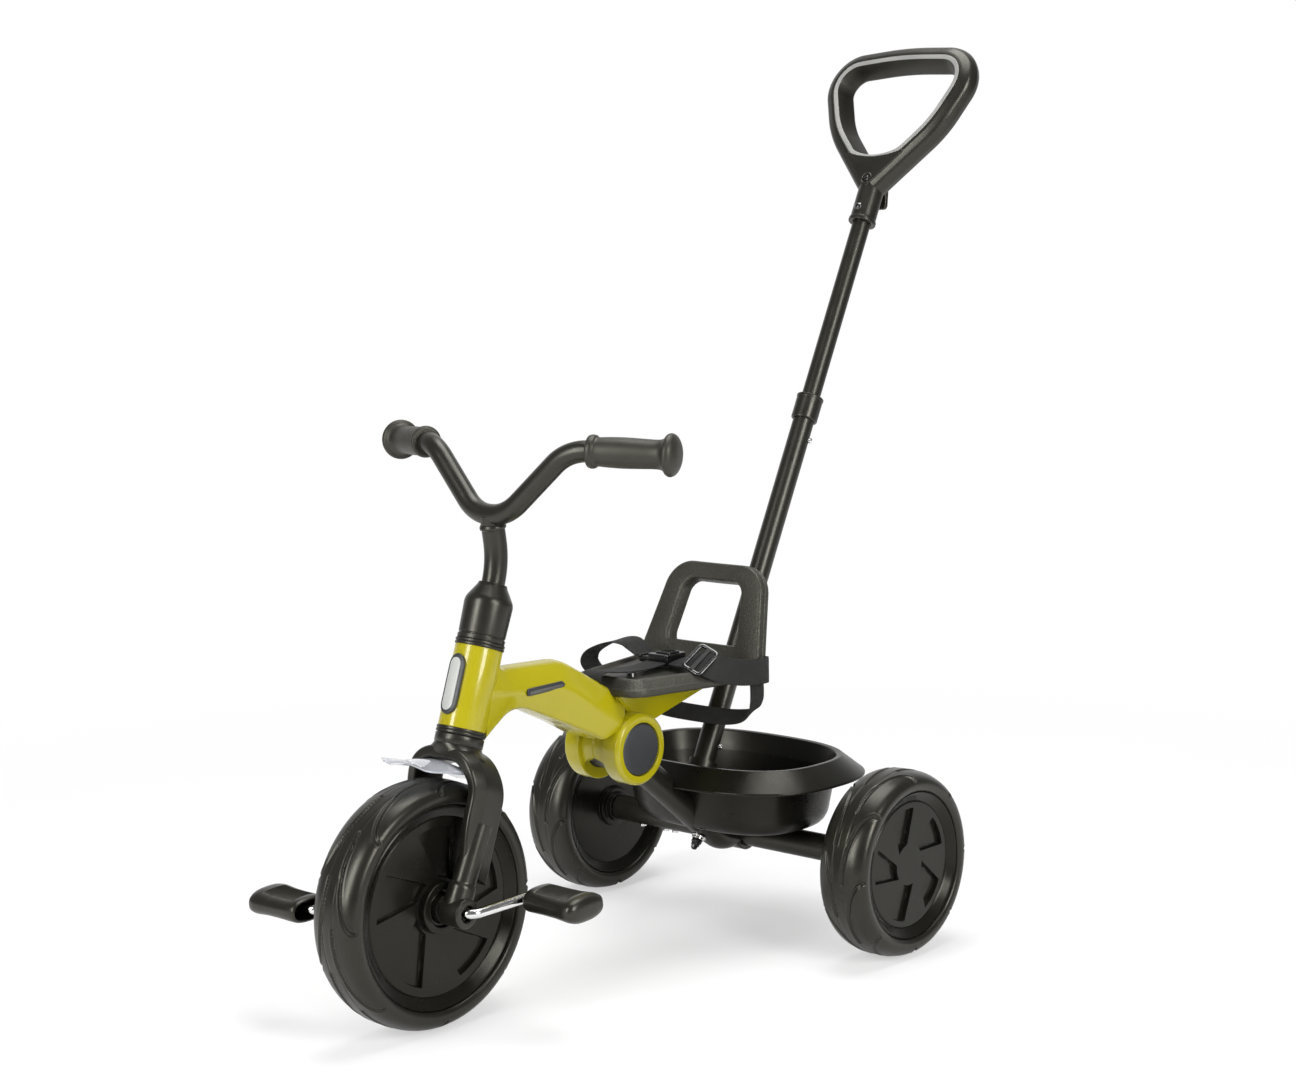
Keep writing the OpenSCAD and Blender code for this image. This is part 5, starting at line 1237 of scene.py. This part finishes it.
# %% Basket
BASKET_Y = -14.0
TUB = [  # half width, half length, height
    (40.0, 24.0, 121.0), (115.0, 77.0, 121.0), (125.5, 87.5, 180.0), (153.0, 114.0, 178.6),
    (157.0, 118.0, 178.4), (157.0, 118.0, 181.0), (133.0, 94.0, 201.0), (127.0, 88.0, 200.4),
    (121.0, 82.5, 178.0), (111.5, 73.5, 124.4), (40.0, 24.0, 124.0)]
TUB_BENDS = [1, 26, 3, 2, 1.2, 3, 4, 2.5, 8, 22, 1]
TUB_POWER = 2.6


def tub_grid():
    """A walk round the tub's wall times an angle round the tub."""
    walk = soften(TUB, TUB_BENDS, 8)
    grid = stacked(oval(walk[:, 0], walk[:, 1], TUB_POWER, 160), walk[:, 2])
    return from_rear(grid + [0, BASKET_Y, 0])


make("basket_tub", [skin(tub_grid())], basket_plastic, "rear_frame", "basket", sharp=50)
print("basket dressed")

# %% [markdown]
# ## Rear frame
# The down tube is bent once and ends in a sleeve round the cross axle tube. Below it a bolt with a silver
# flange and a black cap nut holds the basket.

# %% Down tube and bolt
DOWN_SLOPE = np.radians(38.4)
DOWN_R, DOWN_BEND, DOWN_FROM = 16.0, 70.0, 24.0
DOWN_KNEE, DOWN_FOOT = (0, -35.4, 102.0), (0, -8, 102.0)
BOLT_AT = 187.0
down_way = np.array([0.0, np.cos(DOWN_SLOPE), -np.sin(DOWN_SLOPE)])
down_corners = [HUB + down_way * DOWN_FROM, from_rear(DOWN_KNEE), from_rear(DOWN_FOOT)]
down_line = evenly(soften(down_corners, DOWN_BEND, 20), 90)
down_tube = sweep(down_line, oval(DOWN_R, DOWN_R, 2, 64), (1, 0, 0))
SLEEVE_RING = [(15.2, -14), (19.2, -14), (20, -13), (20, 13), (19.2, 14), (15.2, 14)]
sleeve_ring = about_x(lathe(soften(SLEEVE_RING, 0.6, 4, closed=True))) + REAR_AXLE
down_patches = [skin(down_tube), skin(sleeve_ring, wrap_u=True)]
make("down_tube_bent", down_patches, black_tube, "rear_frame", "down_tube")

FLANGE = soften([(0.0, 15.0), (8.6, 15.2), (8.6, 17.2), (7.2, 17.6), (7.2, 20.2), (0.0, 20.4)], 0.4, 4)
CAP_NUT = soften([(0.0, 20.2), (6.0, 20.3), (6.2, 24.0), (5.0, 24.6), (5.2, 27.4), (4.0, 28.0), (3.4, 31.4),
                  (1.6, 32.6), (0.0, 32.8)], 0.5, 4)


def on_bolt(profile, count):
    """A turned shape on the bolt, which stands square to the down tube and points down."""
    bolt_way = -np.array([0.0, np.sin(DOWN_SLOPE), np.cos(DOWN_SLOPE)])
    return skin(aim(lathe(profile, count), HUB + down_way * BOLT_AT, bolt_way), caps=False)


make("bolt_flange", [on_bolt(FLANGE, 48)], bright_steel, "rear_frame", "basket_bolt")
make("bolt_cap_nut", [on_bolt(CAP_NUT, 12)], buckle_plastic, "rear_frame", sharp=25)

# %% [markdown]
# ## Push bar
# The bar is two tubes, one sliding in the other, with a collar where they meet. The loop handle is round
# outside and slopes inside, where a liner runs round the opening; the liner's edge is a pale grey strip, a
# painted highlight. A plate with a sunk screw fills the vee above the neck.

# %% Collar and loop handle
COLLAR = soften([(12.7, 418.5), (15.0, 418.5), (15.5, 420), (15.5, 444.5), (16.0, 445.2), (16.0, 447.6),
                 (15.2, 448.4), (11.2, 448.4)], 0.6, 4, closed=True)
make("tube_collar", [skin(push_line(lathe(COLLAR)), wrap_u=True)], satin_plastic, "push_lower", "push_collar")

HANDLE_AT = 728.0
LOOP = [(0, 0, -6.0), (70.6, 0, 71.9), (106.0, 0, 158.0), (0, 0, 166.0)]
LOOP_BENDS = [1, 120, 32, 420, 32, 120, 1]
HANDLE_SECTION = [  # way back, way out of the opening
    (-14.6, 4.0), (-15.2, 0.8), (-14.8, 0.4), (-15.0, 0.0), (-14.4, -5.6), (8.5, -14.6), (14.0, -9.5),
    (15.6, 3.0), (11.0, 13.4), (0.0, 16.4), (-10.6, 12.6)]
SECTION_BENDS = [6, 0.3, 0.2, 0.3, 1.2, 4, 5, 8, 9, 9, 9]
LIP_SECTION = [(-15.0, 0.2), (-15.5, -0.4), (-14.9, -5.5), (-13.8, -5.2)]
LIP_IN = 2.6
LIP_LOW, LIP_END = 28.0, 37.0
LIP_PASSES = 16


def in_handle(points):
    """Points drawn from the root of the loop, moved up the push bar."""
    return push_line(np.asarray(points, float) + [0, 0, HANDLE_AT])


def loop_path():
    """The middle line of the loop, from the neck round and back to it."""
    half = LOOP[:3]
    line = np.array(half + [LOOP[3]] + [(-x, y, z) for x, y, z in half[::-1]], float)
    return evenly(soften(line, LOOP_BENDS, 24), 260)


def loop_grid():
    """The handle's section carried round the loop, with the sloping liner facing in."""
    section = soften(HANDLE_SECTION, SECTION_BENDS, 5, closed=True)
    return sweep(loop_path(), section * [1, -1], (0, 1, 0))


def lip_grid():
    """The liner's edge, a pale strip of painted highlight: round the loop and, at the bottom, over the plate
    along a parabola.
    """
    path = loop_path()
    inner = path + LIP_IN * np.cross(unit(np.gradient(path, axis=0)), [0, 1, 0])
    inner = inner[inner[:, 2] > LIP_END]
    x = np.linspace(inner[-1, 0], inner[0, 0], 30)[1:-1]
    foot = np.column_stack([x, 0 * x, LIP_LOW + (LIP_END - LIP_LOW) * (x / inner[0, 0]) ** 2])
    ring = evenly(np.vstack([inner, foot, inner[:1]]), 301)[:-1]
    for _ in range(LIP_PASSES):
        ring = (np.roll(ring, 1, 0) + 2 * ring + np.roll(ring, -1, 0)) / 4
    around = np.vstack([ring[-2:], ring, ring[:2]])
    section = soften(LIP_SECTION, 0.2, 4, closed=True) + [0, LIP_IN]
    return sweep(around, section * [1, -1], (0, 1, 0))[2:-2]


NECK = [(11.1, -54), (16.0, -54), (16.6, -53), (16.6, -49.6), (15.6, -48.6), (15.4, -46), (15.4, -6),
        (14.0, 4), (11.1, 4)]
NECK_BENDS = [0.3, 0.6, 0.6, 0.5, 0.4, 1, 6, 4, 0.3]
neck = lathe(soften(NECK, NECK_BENDS, 5, closed=True))
handle_patches = [skin(in_handle(loop_grid())), skin(in_handle(neck), wrap_u=True)]
make("loop_handle", handle_patches, satin_plastic, "push_upper", "push_handle", sharp=50)
# the pale strip round the opening is a painted highlight along the liner's edge
make("liner_lip_highlight", [skin(in_handle(lip_grid()), wrap_u=True)], lip_highlight_grey, "push_upper", sharp=60)

PLATE = [(0, -13.5), (23, 12.1), (46, 37.6), (24, 31.0), (0, 27.8), (-24, 31.0), (-46, 37.6), (-23, 12.1)]
PLATE_BENDS = [4, 100, 2, 60, 80, 60, 2, 100]
PLATE_T, PLATE_EDGE, PLATE_BACK = 22.0, 0.7, 6.3
PLATE_SCREW_UP, NECK_SCREW_UP = -1.0, -38.0
WELL_RING = [(7.6, 15.0), (7.6, 16.3), (6.9, 16.8), (6.0, 16.5), (5.6, 15.8), (5.6, 15.0)]
WELL = soften([(0.0, 15.9), (5.7, 15.9), (5.7, 15.2), (0.0, 15.2)], 0.1, 3)
HEAD = soften([(0.0, 16.7), (1.6, 16.7), (3.2, 16.3), (3.5, 15.6), (0.0, 15.5)], 0.4, 4)
DOME = soften([(0.0, 18.2), (2.6, 18.0), (4.9, 16.0), (5.2, 14.6), (0.0, 14.6)], [0.1, 2.2, 1.4, 0.3, 0.1], 6)


def facing(profile, count, up):
    """A turned shape that faces forwards out of the handle, at a height above the loop's root."""
    return in_handle(lathe(profile, count) @ np.array([[1, 0, 0], [0, 0, 1], [0, -1, 0]]) + [0, 0, up])


plate = pillow(soften(PLATE, PLATE_BENDS, 6, closed=True), PLATE_T, PLATE_EDGE)
plate = skin(in_handle(plate[..., [0, 2, 1]] * [1, -1, 1] + [0, PLATE_BACK, 0]))
well_ring = skin(facing(soften(WELL_RING, 0.3, 4, closed=True), 48, PLATE_SCREW_UP), wrap_u=True)
well = skin(facing(WELL, 48, PLATE_SCREW_UP), caps=False)
screws = [skin(facing(HEAD, 32, PLATE_SCREW_UP), caps=False),
          skin(facing(DOME, 32, NECK_SCREW_UP), caps=False)]
make("vee_plate", [plate, well_ring], satin_plastic, "push_upper", "handle_plate")
make("screw_well", [well], buckle_plastic, "push_upper")
make("handle_bolts", screws, dark_steel, "push_upper", "handle_screws")

LEVER = soften([(-8, -24), (8, -24), (8, 0), (-8, 0)], [5, 5, 2, 2], 6, closed=True)
LEVER_T, LEVER_EDGE = 6.0, 1.6
LEVER_TURN, LEVER_BACK = 20.0, 16.4
lever = turn_x(pillow(LEVER, LEVER_T, LEVER_EDGE)[..., [0, 2, 1]], LEVER_TURN) + [0, LEVER_BACK, 0]
make("squeeze_lever", [skin(in_handle(lever))], satin_plastic, "lever", "handle_lever")
print("push bar dressed")

# %% [markdown]
# ## CAD nodes that keep their own shape
# Plain tubes, rods and small fasteners are already right, so they only get a finish.

# %% Finishes of the kept nodes
KEPT = {
    black_tube: ["push_tube_lower", "push_tube_upper", "axle_tube"],
    satin_plastic: ["push_socket"],
    tube_steel: ["steerer_tube", "head_tube", "frame_screws", "button_springs"],
    grey_plastic: ["fold_barrel"],
    bright_steel: ["axle_rod", "axle_screws", "seat_bolts", "bar_lock_button", "height_lock_button"],
}
for mat, names in KEPT.items():
    for name in names:
        nodes[name].data.materials.clear()
        nodes[name].data.materials.append(mat)
print("kept nodes:", sum(len(names) for names in KEPT.values()))

# %% [markdown]
# ## Floor, light and camera
# The studio is a pale floor that fades into a white background, with soft lamps at a plain level. The white
# background is only for the camera, mirrors and clear plastic: the light on the trike stays moderate, so
# its blacks keep their shape.

# %% Stage
FLOOR_HALF = 9.0
BACKDROP_WAY = (-0.67, 0.74, 0.0)
GLOSSY_SHARE = 0.3
FLOOR_GREY = (0.9, 0.9, 0.9, 1)
FADE_FROM, FADE_TO = 0.7, 1.7
FADE_LEAST = 0.5
ROOM_FROM, ROOM_TO = 0.35, 0.95
ROOM_LEAST = 0.2


def placed(axes, place):
    """A placing matrix from three axes, as columns, and a place."""
    return Matrix(np.vstack([np.column_stack([axes, place]), [0, 0, 0, 1]]).tolist())


def seen_directly(tree):
    """One for rays from the camera or through clear plastic, and zero for the rest."""
    light = put(tree, "LightPath").outputs
    direct = {0: light["Is Camera Ray"], 1: light["Is Transmission Ray"]}
    return put(tree, "Math", direct, operation="MAXIMUM").outputs[0]


def floor_finish():
    """Matt pale floor near the trike that turns to plain white for the camera further away."""
    mat = bpy.data.materials.new("pale_floor")
    mat.use_nodes = True
    tree = mat.node_tree
    matt = put(tree, "BsdfDiffuse", {"Color": FLOOR_GREY})
    white = put(tree, "Emission", {"Color": (1, 1, 1, 1), "Strength": 1.0})
    where = put(tree, "TexCoord").outputs["Object"]
    away = put(tree, "VectorMath", {0: where}, operation="LENGTH")
    fade = put(tree, "MapRange", {"Value": away.outputs["Value"], "From Min": FADE_FROM, "From Max": FADE_TO,
                                  "To Min": FADE_LEAST, "To Max": 1.0}, interpolation_type="SMOOTHSTEP")
    light = put(tree, "LightPath").outputs
    glossy = put(tree, "Math", {0: light["Is Glossy Ray"], 1: GLOSSY_SHARE}, operation="MULTIPLY")
    seen = put(tree, "Math", {0: seen_directly(tree), 1: glossy.outputs[0]}, operation="MAXIMUM")
    share = put(tree, "Math", {0: fade.outputs[0], 1: seen.outputs[0]}, operation="MULTIPLY")
    mix = put(tree, "MixShader", {0: share.outputs[0], 1: matt.outputs[0], 2: white.outputs[0]})
    tree.links.new(mix.outputs[0], tree.nodes["Material Output"].inputs["Surface"])
    return mat


floor_mesh = bpy.data.meshes.new("floor")
corners = np.array([(-1, -1, 0), (1, -1, 0), (1, 1, 0), (-1, 1, 0)]) * FLOOR_HALF
floor_mesh.from_pydata(corners.tolist(), [], [(0, 1, 2, 3)])
floor = bpy.data.objects.new("floor", floor_mesh)
bpy.context.scene.collection.objects.link(floor)
floor_mesh.materials.append(floor_finish())

world = bpy.data.worlds.new("studio")
bpy.context.scene.world = world
world.use_nodes = True
sky = world.node_tree
way = put(sky, "TexCoord").outputs["Generated"]
behind = put(sky, "VectorMath", {0: way, 1: BACKDROP_WAY}, operation="DOT_PRODUCT")
room = put(sky, "MapRange", {"Value": behind.outputs["Value"], "From Min": ROOM_FROM, "From Max": ROOM_TO,
                             "To Min": ROOM_LEAST, "To Max": 1.0}, interpolation_type="SMOOTHSTEP")
level = put(sky, "MapRange", {"Value": seen_directly(sky), "To Min": room.outputs[0], "To Max": 1.0})
back = sky.nodes["Background"]
back.inputs["Color"].default_value = (1, 1, 1, 1)
sky.links.new(level.outputs[0], back.inputs["Strength"])


def soft_lamp(name, place, target, size, power):
    """A large rectangular lamp that looks at a target point."""
    data = bpy.data.lights.new(name, "AREA")
    data.shape = "RECTANGLE"
    data.size, data.size_y = size
    data.energy = power
    lamp = bpy.data.objects.new(name, data)
    way = unit(np.subtract(target, place))
    side = unit(np.cross(way, [0, 0, 1]))
    lamp.matrix_world = placed(np.column_stack([side, np.cross(side, way), -way]), place)
    bpy.context.scene.collection.objects.link(lamp)


soft_lamp("key_softbox", (-0.3, -2.95, 1.5), (0, 0, 0.35), (0.8, 2.0), 66)
soft_lamp("side_softbox", (2.9, -0.55, 1.6), (0, 0, 0.35), (0.9, 1.8), 72)
soft_lamp("top_softbox", (0.0, 0.4, 3.0), (0, 0, 0.2), (2.0, 1.6), 60)
print("lamps:", ", ".join(lamp.name for lamp in bpy.data.lights))

# %% [markdown]
# The camera stands in front of the trike on its left, a little above the seat, and is tipped by a degree.
# Its axes follow from azimuth, elevation and roll.

# %% Camera
CAMERA_PLACE = np.array([1.66273, -1.84734, 0.75691])
CAMERA_AZIMUTH, CAMERA_ELEVATION, CAMERA_ROLL = np.radians([42.28, 6.96, -1.0])
SENSOR = 36.0
FOCAL_PIXELS = 2284.76
PHOTO_WIDTH = 1296

right = np.array([np.cos(CAMERA_AZIMUTH), np.sin(CAMERA_AZIMUTH), 0])
back_way = np.array([np.sin(CAMERA_AZIMUTH) * np.cos(CAMERA_ELEVATION),
                     -np.cos(CAMERA_AZIMUTH) * np.cos(CAMERA_ELEVATION), np.sin(CAMERA_ELEVATION)])
upward = np.cross(back_way, right)
c, s = np.cos(CAMERA_ROLL), np.sin(CAMERA_ROLL)
axes = np.column_stack([c * right + s * upward, c * upward - s * right, back_way])
camera_data = bpy.data.cameras.new("camera")
camera_data.sensor_width = SENSOR
camera_data.sensor_fit = "HORIZONTAL"
camera_data.lens = SENSOR * FOCAL_PIXELS / PHOTO_WIDTH
camera = bpy.data.objects.new("camera", camera_data)
camera.matrix_world = placed(axes, CAMERA_PLACE)
bpy.context.scene.collection.objects.link(camera)
bpy.context.scene.camera = camera
bpy.context.scene.view_settings.view_transform = "Standard"
print("camera lens", round(camera_data.lens, 2))
